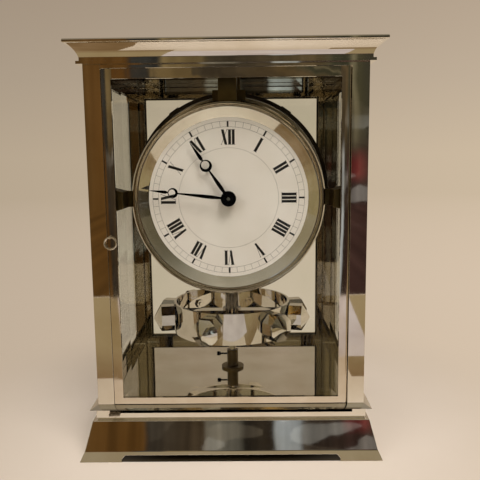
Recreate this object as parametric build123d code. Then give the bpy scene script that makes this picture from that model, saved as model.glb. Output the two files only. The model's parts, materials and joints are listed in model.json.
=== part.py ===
from build123d import *
import os
from math import cos, sin, radians, sqrt

# Atmospheric clock in a nickelled case of square posts and bevelled glass, in millimetres.
# X runs to the right seen from the front, Y to the back and Z up. The origin is on the table,
# on the axis of the torsion pendulum. Hands, wheels and drum turn about lines parallel to Y.

# Case
post_side = 11.0
bezel_stand_off = 7.0
post_groove_depth = 1.5
skirt_height = 25.8
skirt_flare = 11.5
skirt_waist_overhang = 8.5
skirt_waist_height = 6.5
skirt_top_overhang = 3.5
skirt_wall = 6.0
skirt_top_thickness = 3.0
skirt_step_height = 1.4
skirt_step_inset = 2.9
foot_length = 28.5
foot_gap_height = 4.0
foot_gap_corner = 2.0
moulding_height = 8.8
moulding_lip_overhang = 4.8
moulding_lip_height = 2.2
moulding_band_overhang = 1.2
moulding_wall = 8.0
slot_height = 1.9
slot_lift = 3.1
slot_end_margin = 7.8
floor_thickness = 3.0
floor_rise = 0.5
floor_edge = 6.5
rail_height = 8.0
rail_thickness = 6.0
lintel_height = 2.3
side_glass_thickness = 3.0
glass_bevel_width = 6.0
glass_bevel_depth = 1.0
glass_play = 0.1
rear_frame_thickness = 6.0
rear_frame_stile = 6.0
rear_frame_top = 10.0
rear_frame_bottom = 7.0
rear_glass_thickness = 3.0
ceiling_thickness = 1.8
ceiling_overhang = 3.3
cornice_neck_height = 2.2
cornice_neck_overhang = 1.7
cornice_height = 7.8
cornice_top_overhang = 7.5
cornice_sag = 1.0
cornice_steps = 4
cornice_wall = 4.0
slab_thickness = 2.4
slab_overhang = 9.6
slab_rise = 0.5
screw_radius = 1.25
screw_head_radius = 2.4
screw_head_height = 1.4
screw_reach = 6.0

# Door
door_thickness = 6.0
door_stile = 6.0
door_top_rail = 6.2
door_bottom_rail = 4.4
door_play = 0.3
door_lip = 2.6
door_rebate = 1.4
door_axis_inset = 1.5
door_glass_thickness = 3.4
door_pivot_radius = 0.8
door_pivot_length = 7.0
door_pivot_reach = 2.0
running_clearance = 0.05
pull_height = 146.9
pull_radius = 3.9
pull_wire_radius = 0.5
pull_ear_radius = 0.8
pull_ear_length = 1.1
pull_eye_play = 0.15
pull_eye_wall = 0.35
pull_stand_off = 1.1
pull_inset = 1.9

# Dial and its carriers
dial_visible_radius = 54.0
dial_thickness = 1.5
dial_play = 0.2
dial_hole_radius = 3.2
cone_width = 7.2
cone_depth = 5.0
cone_rim = 0.6
bezel_wall = 3.6
bezel_front = 7.5
bezel_bead = 1.2
bezel_flange_lap = 3.0
bezel_flange_thickness = 1.5
arm_block_width = 10.0
arm_block_height = 16.5
arm_lug_height = 11.0
arm_lug_reach = 14.0
arm_bezel_gap = 4.2
arm_door_gap = 1.0
strut_width = 12.2
strut_proud = 1.0
strut_tongue_length = 9.0
bridge_rear_y = 6.0
bridge_thickness = 9.6
bridge_screw_shares = (0.3, 0.7)
suspension_block_width = 24.4
suspension_block_height = 7.8
suspension_boss_radius = 3.0
suspension_boss_length = 3.6
suspension_boss_lip = 0.8
regulator_radius = 6.5
regulator_thickness = 1.4
regulator_arm_length = 15.0
regulator_arm_width = 2.2
regulator_tip_share = 1 / 3

# Movement plates
front_plate_inset = 2.8
front_plate_gap = 2.5
plate_thickness = 2.5
plate_spacing = 30.0
back_plate_radius = 48.0
pillar_radius = 3.0
pillar_waist_share = 2 / 3
pillar_circle_radius = 42.0
pillar_angles = (40.0, 160.0, 200.0, 320.0)
plate_screw_radius = 2.6
plate_screw_height = 1.2
plate_screw_slot_share = 1 / 4

# Wheels and arbors
small_pivot_radius = 0.8
centre_arbor_radius = 1.2
centre_arbor_show = 0.5
centre_pinion_teeth = 10
barrel_teeth = 58
barrel_module = 0.7
barrel_angle = 120.0
barrel_plate_gap = 4.5
barrel_teeth_width = 3.0
barrel_depth = 13.5
barrel_wall_gap = 1.2
barrel_cap_radius = 6.0
barrel_cap_step = 0.8
centre_wheel_teeth = 64
centre_wheel_module = 0.5
centre_wheel_spokes = 5
centre_wheel_hub = 3.6
centre_wheel_rim = 2.0
centre_wheel_spoke = 2.4
centre_wheel_set_back = 6.0
wheel_thickness = 1.2
escape_pinion_teeth = 16
escape_pinion_width = 2.6
escape_wheel_teeth = 15
escape_wheel_radius = 9.0
escape_wheel_spokes = 4
escape_wheel_hub = 2.4
escape_wheel_spoke = 1.6
escape_wheel_set_back = 16.0
escape_root_share = 0.78
escape_tooth_shares = (0.45, 0.55, 0.65)
cannon_teeth = 12
minute_wheel_teeth = 36
minute_pinion_teeth = 10
hour_wheel_teeth = 40
motion_module = 0.6
motion_angle = 235.0
motion_plate_gap = 0.5
motion_wheel_thickness = 1.0
motion_gap = 0.5
cannon_pipe_radius = 1.7
cannon_pipe_length = 10.9
hour_pipe_bore = 1.76
hour_pipe_radius = 2.5
hour_pipe_length = 6.2
pinion_gap = 0.3
winding_arbor_radius = 2.0
winding_pinion_teeth = 20
drum_gear_teeth = 48
ratchet_teeth = 18
ratchet_radius = 6.2
ratchet_root_share = 0.86
ratchet_tooth_share = 0.15
ratchet_set_back = 4.0
ratchet_thickness = 2.0
pallet_rise = 12.9
pallet_span = 7.4
pallet_arm_width = 1.8
pallet_stone_width = 1.2
pallet_stone_gap = 0.7
fork_lead = 0.6
fork_plate_gap = 1.9
fork_thickness = 1.3
fork_gap = 2.0
fork_prong = 1.1
fork_prong_length = 4.2
fork_pin_clearance = 0.3

# Hands
hand_thickness = 0.6
hour_tip_gap = 8.1
hour_ring_place = 26.5
hour_ring_radius = 4.1
hour_hand_angle = 326.0
minute_tip_gap = 0.4
minute_ring_place = 37.3
minute_ring_radius = 3.4
minute_hand_angle = 276.7
hand_hub_radius = 5.2
hand_leaf_width = 2.6
arm_leaf_shares = ((0.0, 0.6), (0.3, 1.0), (0.65, 0.7), (1.0, 0.4))
tip_leaf_shares = ((0.0, 0.5), (0.15, 0.95), (0.5, 0.55), (1.0, 0.12))
ring_lap_share = 0.9
ring_hole_share = 0.66
ring_hole_lift_share = 0.55

# Motor drum and its cradle
drum_depth = 32.0
drum_wall = 1.5
drum_step_depth = 1.0
shell_boss_shares = (0.30, 0.33)
shell_rim_shares = (0.62, 0.65)
shell_edge_shares = (0.90, 0.93)
lid_edge_shares = (0.84, 0.87)
drum_axle_radius = 2.5
drum_axle_inset = 0.2
drum_gear_gap = 0.8
drum_gear_thickness = 2.0
drum_gear_play = 2.0
capsule_gap = 2.0
capsule_pleat_count = 4
capsule_pleat_depth = 5.0
hoop_bore_gap = 1.3
hoop_wall = 3.0
hoop_side_gap = 1.7
hoop_head_room = 8.7
hoop_set_back = 8.0
rear_bar_width = 12.0
rear_bar_thickness = 3.0
rear_bar_gap = 1.0
rear_bar_boss_radius = 9.0
clip_angle = 34.6
clip_width = 9.0
clip_height = 3.4
clip_thickness = 2.0
hanger_width = 16.0
hanger_depth = 20.0
yoke_tube_gap = 1.1
yoke_thickness = 2.0
yoke_half_length = 34.0
yoke_height = 12.0
yoke_strut_place = 30.0
yoke_strut_radius = 3.0
yoke_lobe_radius = 5.0

# Torsion pendulum
ring_radius = 44.8
ring_wall = 1.8
ring_rise = 32.0
ring_height = 23.0
cross_bar_rise = 11.0
cross_bar_height = 4.0
cross_bar_nut_gap = 0.24
hub_radius = 7.0
hub_rise = 7.0
hub_height = 10.0
tube_radius = 5.1
tube_bore = 3.6
tube_head_gap = 11.0
roller_radius = 10.4
roller_thickness = 1.6
roller_drop = 4.6
impulse_pin_radius = 0.6
impulse_pin_circle = 9.0
impulse_pin_length = 2.6
wire_radius = 0.3
weight_span = 19.0
weight_seat = 0.5
weight_length = 9.9
weight_tip_length = 5.4
weight_tip_share = 1 / 12
weight_drum_gap = 7.2
weight_sides = 8
weight_boss_radius = 4.0
weight_stud_radius = 1.5
weight_stud_reach = 2.8
nut_span = 6.0
nut_thickness = 1.6
weight_angles = (-79.0, -19.0, 41.0, 101.0, 161.0, 221.0, 78.0, 258.0)

# Arrest under the pendulum
arrest_foot_radius = 8.65
arrest_foot_height = 1.5
arrest_post_radius = 4.3
arrest_post_height = 14.5
plunger_radius = 2.85
plunger_top_gap = 1.7
plunger_travel = 1.2
thumb_screw_height = 11.0
thumb_screw_radius = 0.65
thumb_screw_length = 5.2
thumb_knob_radius = 1.6
thumb_knob_length = 2.8
lever_thickness = 1.4
lever_width = 7.3
lever_rise = 3.2
lever_head_height = 0.4
lever_pivot_side_inset = 12.0
lever_pivot_front_inset = 20.0
lever_tip_reach = 6.5
lever_pin_radius = 1.5
lever_shoulder_radius = 2.6
lever_swing = 12.0
wedge_width = 8.0
wedge_margin = 4.0
wedge_clearance = 0.33

overrun = 2.0
addendum_share = 1.0
dedendum_share = 1.35
tooth_root_share = 0.60
tooth_pitch_share = 0.40
tooth_tip_share = 0.16

# Levels and planes that several pieces share
base_top_z = skirt_height + skirt_step_height
moulding_top_z = base_top_z + moulding_height
floor_top_z = moulding_top_z + floor_rise
floor_bottom_z = floor_top_z - floor_thickness
bezel_bore = dial_visible_radius + cone_width
bezel_radius = bezel_bore + bezel_wall
post_inner_x = bezel_radius + arm_bezel_gap + arm_block_width
half_width = post_inner_x + post_side
hoop_radius = post_inner_x - hoop_side_gap
hoop_bore = hoop_radius - hoop_wall
drum_radius = hoop_bore - hoop_bore_gap

# From the floor up: pendulum, then the drum over its weights, then the ceiling over the drum
ring_bottom_z = floor_top_z + ring_rise
weight_z = ring_bottom_z + ring_height / 2
cross_bar_bottom_z = ring_bottom_z + cross_bar_rise
hub_bottom_z = ring_bottom_z + hub_rise
hub_top_z = hub_bottom_z + hub_height
dial_height = weight_z + weight_span / 2 + weight_drum_gap + hoop_radius
ceiling_z = dial_height + hoop_radius + hoop_head_room
cornice_z = ceiling_z + ceiling_thickness
slab_z = cornice_z + cornice_neck_height + cornice_height
beam_bottom_z = ceiling_z - bridge_thickness
suspension_bottom_z = beam_bottom_z - suspension_block_height
wire_top_z = suspension_bottom_z - suspension_boss_length
tube_top_z = wire_top_z - tube_head_gap
roller_z = tube_top_z - roller_drop
fork_top_z = roller_z - impulse_pin_length - fork_pin_clearance

# From the pendulum's axis to the front: fork, plates, dial, bezel, door
fork_y = -impulse_pin_circle - fork_lead
back_plate_y = fork_y - fork_plate_gap - plate_thickness
front_plate_y = back_plate_y - plate_spacing
bezel_rear_y = front_plate_y - front_plate_gap
dial_front_y = bezel_rear_y - bezel_flange_thickness - dial_thickness
half_depth = door_thickness + bezel_stand_off + bezel_front - dial_front_y
post_inner_y = half_depth - post_side
barrel_teeth_y = front_plate_y + plate_thickness + barrel_plate_gap
centre_wheel_y = back_plate_y - centre_wheel_set_back
escape_wheel_y = back_plate_y - escape_wheel_set_back
ratchet_y = back_plate_y - ratchet_set_back
motion_rear_y = front_plate_y - motion_plate_gap
strut_front_y = dial_front_y - strut_proud

lever_pivot_x = lever_pivot_side_inset - half_width
lever_pivot_y = lever_pivot_front_inset - half_depth
lever_tip_y = -half_depth - lever_tip_reach

# From the axis to the back: yoke, gear, drum, hoop
yoke_y = tube_radius + yoke_tube_gap
drum_gear_y = yoke_y + yoke_thickness + drum_gear_gap
drum_front_y = drum_gear_y + drum_gear_thickness + drum_gear_play
drum_back_y = drum_front_y + drum_depth
hoop_front_y = drum_front_y + hoop_set_back
hoop_back_y = drum_back_y + rear_bar_gap
hoop_depth = hoop_back_y - hoop_front_y

# Centres of the train
centre_distance = barrel_module * (barrel_teeth + centre_pinion_teeth) / 2
barrel_x = centre_distance * sin(radians(barrel_angle))
barrel_z = dial_height + centre_distance * cos(radians(barrel_angle))
escape_z = dial_height + centre_wheel_module * (centre_wheel_teeth + escape_pinion_teeth) / 2
pallet_z = escape_z + pallet_rise
motion_distance = motion_module * (cannon_teeth + minute_wheel_teeth) / 2
hour_module = 2 * motion_distance / (hour_wheel_teeth + minute_pinion_teeth)
motion_x = motion_distance * sin(radians(motion_angle))
motion_z = dial_height + motion_distance * cos(radians(motion_angle))
drum_gear_module = 2 * centre_distance / (drum_gear_teeth + winding_pinion_teeth)


def beyond(span):
    """A span made longer at both ends, for a cut that goes right through."""
    return (span[0] - overrun, span[1] + overrun)


def block(x, y, z):
    """Box between two places on each axis."""
    size = (x[1] - x[0], y[1] - y[0], z[1] - z[0])
    return Pos((x[0] + x[1]) / 2, (y[0] + y[1]) / 2, (z[0] + z[1]) / 2) * Box(*size)


def rod_y(radius, y, x=0, z=0):
    """Round rod along Y between two places."""
    return Pos(x, (y[0] + y[1]) / 2, z) * Rot(90, 0, 0) * Cylinder(radius, y[1] - y[0])


def rod_z(radius, z, x=0, y=0):
    """Round rod along Z between two places."""
    return Pos(x, y, (z[0] + z[1]) / 2) * Cylinder(radius, z[1] - z[0])


def rod_x(radius, x, y=0, z=0):
    """Round rod along X between two places."""
    return Pos((x[0] + x[1]) / 2, y, z) * Rot(0, 90, 0) * Cylinder(radius, x[1] - x[0])


def turned_y(profile, x=0, z=0):
    """Piece turned about a line along Y, from (radius, y) points."""
    face = make_face(Polyline(*profile, close=True))
    return Pos(x, 0, z) * revolve(face, Axis.Y)


def plate_y(points, y, thickness):
    """Flat plate square to Y, from (x, z) points."""
    face = make_face(Polyline(*[(x, y, z) for x, z in points], close=True))
    return extrude(face, amount=thickness, dir=(0, 1, 0))


def plate_z(points, z, thickness):
    """Flat plate square to Z, from (x, y) points."""
    face = make_face(Polyline(*[(x, y, z) for x, y in points], close=True))
    return extrude(face, amount=thickness, dir=(0, 0, 1))


def clock_place(radius, angle, x=0, z=0):
    """Place at an angle counted clockwise from the top."""
    return (x + radius * sin(radians(angle)), z + radius * cos(radians(angle)))


def toothed(teeth, module, y, thickness, x, z, turn=0.0):
    """Toothed disc with straight-sided clock teeth; a tooth's middle stands at the angle turn."""
    pitch_radius = teeth * module / 2
    tip_radius = pitch_radius + addendum_share * module
    root_radius = pitch_radius - dedendum_share * module
    step = 360 / teeth
    shape = ((root_radius, -tooth_root_share), (pitch_radius, -tooth_pitch_share),
             (tip_radius, -tooth_tip_share), (tip_radius, tooth_tip_share),
             (pitch_radius, tooth_pitch_share), (root_radius, tooth_root_share))
    points = []
    for tooth in range(teeth):
        for radius, share in shape:
            points.append(clock_place(radius, turn + step * (tooth + share / 2), x, z))
    return plate_y(points, y, thickness)


def crossings(piece, count, inner, outer, spoke, y, x, z):
    """Cut the windows that leave straight spokes in a wheel."""
    ring = rod_y(outer, beyond(y), x, z)
    ring -= rod_y(inner, beyond(y), x, z)
    for index in range(count):
        bar = block((-spoke / 2, spoke / 2), beyond(y), (0, outer + overrun))
        ring -= Pos(x, 0, z) * Rot(0, 360 / count * index, 0) * bar
    return piece - ring


def rectangle_ring(overhangs, levels, opening_x, opening_y, opening_z):
    """Frame with mitred sloping sides; overhangs are counted from the body at each level."""
    solid = None
    for index in range(len(levels) - 1):
        sketches = []
        for end in (index, index + 1):
            wide = 2 * (half_width + overhangs[end])
            deep = 2 * (half_depth + overhangs[end])
            sketches.append(Plane.XY.offset(levels[end]) * Rectangle(wide, deep))
        layer = loft(sketches, ruled=True)
        solid = layer if solid is None else solid + layer
    if opening_x:
        solid -= block((-opening_x, opening_x), (-opening_y, opening_y), opening_z)
    return solid


def bevelled_pane(width, height, thickness, lap):
    """Upright pane in the XZ plane, bevelled towards -Y inside its covered lap, its back at y = 0."""
    rim = Plane.XZ.offset(thickness - glass_bevel_depth) * Rectangle(width - 2 * lap, height - 2 * lap)
    inset = 2 * (lap + glass_bevel_width)
    crown = Plane.XZ.offset(thickness) * Rectangle(width - inset, height - inset)
    body = thickness - glass_bevel_depth
    slab = Pos(0, -body / 2, 0) * Box(width, body, height)
    return slab + loft([rim, crown], ruled=True)


def mirrored_pair(piece):
    """The piece and its left-hand twin."""
    return Compound(children=[piece, mirror(piece, about=Plane.YZ)])


# Base and lower moulding

def base_skirt():
    """Splayed skirt that flares more at its four bracket feet, open below, with a set-back neck."""
    shell = rectangle_ring((skirt_flare, skirt_waist_overhang, skirt_top_overhang),
                           (0, skirt_waist_height, skirt_height), 0, 0, 0)
    neck = skirt_top_overhang - skirt_step_inset
    shell += rectangle_ring((neck, neck), (skirt_height, base_top_z), 0, 0, 0)
    inner_top_z = base_top_z - skirt_top_thickness
    slope = (skirt_waist_overhang - skirt_top_overhang) / (skirt_height - skirt_waist_height)
    inner_top = skirt_waist_overhang - slope * (inner_top_z - skirt_waist_height)
    inside = [overhang - skirt_wall for overhang in (skirt_flare, skirt_waist_overhang, inner_top)]
    shell -= rectangle_ring(inside, (0, skirt_waist_height, inner_top_z), 0, 0, 0)
    reach_x = half_width + skirt_flare + overrun
    reach_y = half_depth + skirt_flare + overrun
    gap_x = half_width + skirt_flare - foot_length
    gap_y = half_depth + skirt_flare - foot_length
    for half_gap, reach, turned in ((gap_x, reach_y, False), (gap_y, reach_x, True)):
        outline = [(-half_gap, -overrun), (-half_gap, foot_gap_height - foot_gap_corner),
                   (-half_gap + foot_gap_corner, foot_gap_height),
                   (half_gap - foot_gap_corner, foot_gap_height),
                   (half_gap, foot_gap_height - foot_gap_corner), (half_gap, -overrun)]
        cut = plate_y(outline, -reach, 2 * reach)
        shell -= Rot(0, 0, 90) * cut if turned else cut
    return shell


def lower_moulding():
    """Frame under the posts: plain band with the lever slot, then a thin flared lip."""
    lip_z = moulding_top_z - moulding_lip_height
    band = rectangle_ring((moulding_band_overhang, moulding_band_overhang), (base_top_z, lip_z), 0, 0, 0)
    lip = rectangle_ring((moulding_lip_overhang, 0), (lip_z, moulding_top_z), 0, 0, 0)
    opening_x = half_width - moulding_wall
    opening_y = half_depth - moulding_wall
    frame = band + lip
    frame -= block((-opening_x, opening_x), (-opening_y, opening_y),
                   (base_top_z - overrun, moulding_top_z + overrun))
    seat_x = half_width - floor_edge
    seat_y = half_depth - floor_edge
    frame -= block((-seat_x, seat_x), (-seat_y, seat_y), (floor_bottom_z, moulding_top_z + overrun))
    slot_x = half_width - slot_end_margin
    slot_z = base_top_z + slot_lift
    frame -= block((-slot_x, slot_x), (-half_depth - skirt_flare, -opening_y + overrun),
                   (slot_z, slot_z + slot_height))
    for x, y in post_places():
        frame -= rod_z(screw_radius, (base_top_z - overrun, moulding_top_z + overrun), x, y)
    frame -= rod_z(door_pivot_radius + running_clearance,
                   (moulding_top_z - door_pivot_reach - door_play, moulding_top_z + overrun), *door_axis())
    return frame


def post_places():
    """Middles of the four posts."""
    x = half_width - post_side / 2
    y = half_depth - post_side / 2
    return [(sign_x * x, sign_y * y) for sign_x in (-1, 1) for sign_y in (-1, 1)]


def door_axis():
    """Place of the door's upright pivot line."""
    return (post_inner_x - door_play - door_axis_inset, -half_depth + door_axis_inset)


def floor_plate():
    """Polished floor let into the moulding, drilled under the arrest post."""
    x = half_width - floor_edge
    y = half_depth - floor_edge
    plate = block((-x, x), (-y, y), (floor_bottom_z, floor_top_z))
    for sign_x, sign_y in ((-1, -1), (1, -1), (-1, 1), (1, 1)):
        corner_x = (sign_x * post_inner_x, sign_x * half_width)
        corner_y = (sign_y * post_inner_y, sign_y * half_depth)
        plate -= block(sorted(corner_x), sorted(corner_y), (moulding_top_z, floor_top_z + overrun))
    plate -= block((-half_width, half_width), (-half_depth, -half_depth + door_thickness + door_play),
                   (moulding_top_z, floor_top_z + overrun))
    plate -= block((-half_width, half_width), (half_depth - rear_frame_thickness, half_depth),
                   (moulding_top_z, floor_top_z + overrun))
    for side in (-1, 1):
        edge = sorted((side * (half_width - rail_thickness), side * half_width))
        plate -= block(edge, (-half_depth, half_depth), (moulding_top_z, floor_top_z + overrun))
    return plate - rod_z(plunger_radius + running_clearance,
                         (floor_bottom_z - overrun, floor_top_z + overrun))


# Posts, rails and fixed glass

def side_pane_x():
    """Inner and outer face of a side glass."""
    inner = half_width - rail_thickness / 2 - side_glass_thickness / 2
    return (inner, inner + side_glass_thickness)


def side_pane_cut():
    """Room that a side glass takes in its rails and posts."""
    x = side_pane_x()
    y = post_inner_y + post_groove_depth
    low = moulding_top_z + rail_height - post_groove_depth
    high = ceiling_z - rail_height + post_groove_depth
    return block(x, (-y, y), (low, high))


def posts(sign_y):
    """Pair of square posts, grooved for the side glass and drilled for their screws."""
    x = (post_inner_x, half_width)
    y = sorted((sign_y * post_inner_y, sign_y * half_depth))
    post = block(x, y, (moulding_top_z, ceiling_z)) - side_pane_cut()
    centre = (half_width - post_side / 2, sign_y * (half_depth - post_side / 2))
    post -= rod_z(screw_radius, (moulding_top_z - overrun, moulding_top_z + screw_reach), *centre)
    post -= rod_z(screw_radius, (ceiling_z - screw_reach, ceiling_z + overrun), *centre)
    return mirrored_pair(post)


def frame_rails():
    """Rails between the posts: two on each side, grooved for the glass, and the front lintel."""
    x = (half_width - rail_thickness, half_width)
    y = (-post_inner_y, post_inner_y)
    low = block(x, y, (moulding_top_z, moulding_top_z + rail_height)) - side_pane_cut()
    high = block(x, y, (ceiling_z - rail_height, ceiling_z)) - side_pane_cut()
    lintel = block((-post_inner_x, post_inner_x), (-half_depth, -half_depth + door_thickness),
                   (ceiling_z - lintel_height, ceiling_z))
    lintel -= rod_z(door_pivot_radius + running_clearance, (ceiling_z - lintel_height - overrun, ceiling_z),
                    *door_axis())
    rails = [low, high]
    twins = [mirror(rail, about=Plane.YZ) for rail in rails]
    return Compound(children=rails + twins + [lintel])


def side_glasses():
    """Two bevelled panes held in the grooves of posts and rails."""
    x = side_pane_x()
    width = 2 * (post_inner_y + post_groove_depth - glass_play)
    low = moulding_top_z + rail_height - post_groove_depth
    high = ceiling_z - rail_height + post_groove_depth
    pane = bevelled_pane(width, high - low, side_glass_thickness, post_groove_depth)
    return mirrored_pair(Pos(x[0], 0, (low + high) / 2) * Rot(0, 0, 90) * pane)


def rear_opening():
    """Half width, bottom and top of the daylight opening in the rear frame."""
    return (post_inner_x - rear_frame_stile, moulding_top_z + rear_frame_bottom, ceiling_z - rear_frame_top)


def rear_frame():
    """Fixed frame between the rear posts, rebated on its inner side for the glass."""
    half, low, high = rear_opening()
    y = (half_depth - rear_frame_thickness, half_depth)
    frame = block((-post_inner_x, post_inner_x), y, (moulding_top_z, ceiling_z))
    frame -= block((-half, half), beyond(y), (low, high))
    lap = door_rebate
    frame -= block((-half - lap, half + lap), (y[0] - overrun, y[0] + rear_glass_thickness),
                   (low - lap, high + lap))
    return frame


def rear_glass():
    """Bevelled pane in the rear frame's rebate."""
    half, low, high = rear_opening()
    lap = door_rebate - glass_play
    pane = bevelled_pane(2 * (half + lap), high - low + 2 * lap, rear_glass_thickness, lap)
    y = half_depth - rear_frame_thickness + rear_glass_thickness
    return Pos(0, y, (low + high) / 2) * pane


# Ceiling, cornice and top

def ceiling_plate():
    """Plate over the posts that carries the whole movement."""
    plate = rectangle_ring((ceiling_overhang, ceiling_overhang), (ceiling_z, cornice_z), 0, 0, 0)
    for x, y in post_places() + bridge_screw_places():
        plate -= rod_z(screw_radius, (ceiling_z - overrun, cornice_z + overrun), x, y)
    return plate


def bridge_screw_places():
    """Screws that hold the strut and bridge up to the ceiling."""
    span = bridge_rear_y - strut_front_y
    return [(0, strut_front_y + span * share) for share in bridge_screw_shares]


def cornice():
    """Hollow cornice: plain neck, then a shallow hollow curve out to the top plate."""
    neck_z = cornice_z + cornice_neck_height
    ring = rectangle_ring((cornice_neck_overhang, cornice_neck_overhang), (cornice_z, neck_z), 0, 0, 0)
    levels = [neck_z + cornice_height * step / cornice_steps for step in range(cornice_steps + 1)]
    rise = cornice_top_overhang - cornice_neck_overhang
    overhangs = []
    for step in range(cornice_steps + 1):
        share = step / cornice_steps
        overhangs.append(cornice_neck_overhang + rise * share - 4 * cornice_sag * share * (1 - share))
    ring += rectangle_ring(overhangs, levels, 0, 0, 0)
    inner = cornice_wall - cornice_neck_overhang
    ring -= block((-half_width + inner, half_width - inner), (-half_depth + inner, half_depth - inner),
                  (cornice_z - overrun, slab_z + overrun))
    return ring


def top_plate():
    """Thin projecting top plate with a chamfered edge."""
    edge = (slab_overhang - slab_rise, slab_overhang, slab_overhang, slab_overhang - slab_rise)
    levels = (slab_z, slab_z + slab_rise, slab_z + slab_thickness - slab_rise, slab_z + slab_thickness)
    return rectangle_ring(edge, levels, 0, 0, 0)


def case_screws():
    """Screws up through the moulding and down through the ceiling, and the lever's shouldered pivot."""
    pieces = []
    for x, y in post_places():
        low = rod_z(screw_radius, (base_top_z, moulding_top_z + screw_reach), x, y)
        high = rod_z(screw_radius, (ceiling_z - screw_reach, cornice_z), x, y)
        high += rod_z(screw_head_radius, (cornice_z, cornice_z + screw_head_height), x, y)
        pieces += [low, high]
    for x, y in bridge_screw_places():
        screw = rod_z(screw_radius, (ceiling_z - screw_reach, cornice_z), x, y)
        screw += rod_z(screw_head_radius, (cornice_z, cornice_z + screw_head_height), x, y)
        pieces.append(screw)
    lever_z = base_top_z + lever_rise
    pivot = rod_z(lever_shoulder_radius, (base_top_z, lever_z), lever_pivot_x, lever_pivot_y)
    head_z = lever_z + lever_thickness + running_clearance
    pivot += rod_z(lever_pin_radius, (lever_z, head_z), lever_pivot_x, lever_pivot_y)
    pivot += rod_z(lever_shoulder_radius, (head_z, head_z + lever_head_height), lever_pivot_x, lever_pivot_y)
    return Compound(children=pieces + [pivot])


# Door

def door_outline():
    """Outer half width, bottom and top of the door."""
    return (post_inner_x - door_play, moulding_top_z + door_play, ceiling_z - lintel_height - door_play)


def door_frame():
    """Door frame with a front lip, a rebate for the glass and a rounded pivot corner."""
    half, low, high = door_outline()
    y = (-half_depth, -half_depth + door_thickness)
    frame = block((-half, half), y, (low, high))
    x_open = half - door_stile
    z_open = (low + door_bottom_rail, high - door_top_rail)
    frame -= block((-x_open, x_open), beyond(y), z_open)
    lap = door_rebate
    frame -= block((-x_open - lap, x_open + lap), (y[0] + door_lip, y[1] + overrun),
                   (z_open[0] - lap, z_open[1] + lap))
    axis_x, axis_y = door_axis()
    corner = block((axis_x, half + overrun), (y[0] - overrun, axis_y), (low - overrun, high + overrun))
    corner -= rod_z(door_axis_inset, (low - overrun, high + overrun), axis_x, axis_y)
    frame -= corner
    for z in ((low - overrun, low + door_pivot_length), (high - door_pivot_length, high + overrun)):
        frame -= rod_z(door_pivot_radius, z, axis_x, axis_y)
    ear_x, ear_y = pull_place()
    frame -= rod_y(pull_ear_radius, (ear_y, ear_y + door_lip / 2), ear_x, pull_height + pull_radius)
    return frame


def door_glass():
    """Bevelled pane in the door's rebate."""
    half, low, high = door_outline()
    lap = door_rebate - glass_play
    width = 2 * (half - door_stile + lap)
    z_open = (low + door_bottom_rail - lap, high - door_top_rail + lap)
    pane = bevelled_pane(width, z_open[1] - z_open[0], door_glass_thickness + glass_bevel_depth, lap)
    y = -half_depth + door_lip + door_glass_thickness
    return Pos(0, y, (z_open[0] + z_open[1]) / 2) * pane


def door_pivots():
    """Steel pins pressed in the door's right stile, running in the moulding and the lintel."""
    half, low, high = door_outline()
    pins = []
    for z in ((low - door_pivot_reach, low + door_pivot_length),
              (high - door_pivot_length, high + door_pivot_reach)):
        pins.append(rod_z(door_pivot_radius, z, *door_axis()))
    return Compound(children=pins)


def pull_place():
    """X of the pull and the door's front face."""
    half = door_outline()[0]
    return (-half + pull_inset, -half_depth)


def pull_ears():
    """Small stud with a drilled eye that carries the ring."""
    x, y = pull_place()
    top = pull_height + pull_radius
    stem_y = (y - pull_stand_off, y + door_lip / 2)
    stud = rod_y(pull_ear_radius, stem_y, x, top)
    ring_y = y - pull_stand_off - pull_wire_radius
    eye_x = (x - pull_ear_length / 2, x + pull_ear_length / 2)
    bore = pull_wire_radius + pull_eye_play
    eye = rod_x(bore + pull_eye_wall, eye_x, ring_y, top)
    return (stud + eye) - rod_x(bore, beyond(eye_x), ring_y, top)


def door_pull():
    """Wire ring threaded through the eye, whose play leaves room for the wire's curve."""
    x, y = pull_place()
    ring = Rot(90, 0, 0) * Torus(pull_radius, pull_wire_radius)
    return Pos(x, y - pull_stand_off - pull_wire_radius, pull_height) * ring


# Dial and its carriers

def bezel():
    """Moulded ring with a bead at its front and a flange behind the dial."""
    front = dial_front_y - bezel_front
    dial_back = dial_front_y + dial_thickness
    middle = (bezel_radius + bezel_bore) / 2
    flange_bore = dial_visible_radius + bezel_flange_lap
    profile = [(bezel_bore, dial_back), (bezel_bore, front + bezel_bead), (middle - bezel_bead / 2, front),
               (middle + bezel_bead / 2, front), (bezel_radius - bezel_bead / 2, front + bezel_bead),
               (bezel_radius, front + 2 * bezel_bead), (bezel_radius, bezel_rear_y),
               (flange_bore, bezel_rear_y), (flange_bore, dial_back)]
    return turned_y(profile, 0, dial_height)


def dial_ring():
    """Polished conical ring that clamps the enamel dial."""
    profile = [(dial_visible_radius, dial_front_y), (bezel_bore - cone_rim, dial_front_y - cone_depth),
               (bezel_bore, dial_front_y - cone_depth), (bezel_bore, dial_front_y)]
    return turned_y(profile, 0, dial_height)


def dial():
    """Enamelled disc with the centre hole."""
    disc = rod_y(bezel_bore - dial_play, (dial_front_y, dial_front_y + dial_thickness), 0, dial_height)
    return disc - rod_y(dial_hole_radius, (dial_front_y - overrun, dial_front_y + overrun), 0, dial_height)


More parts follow.
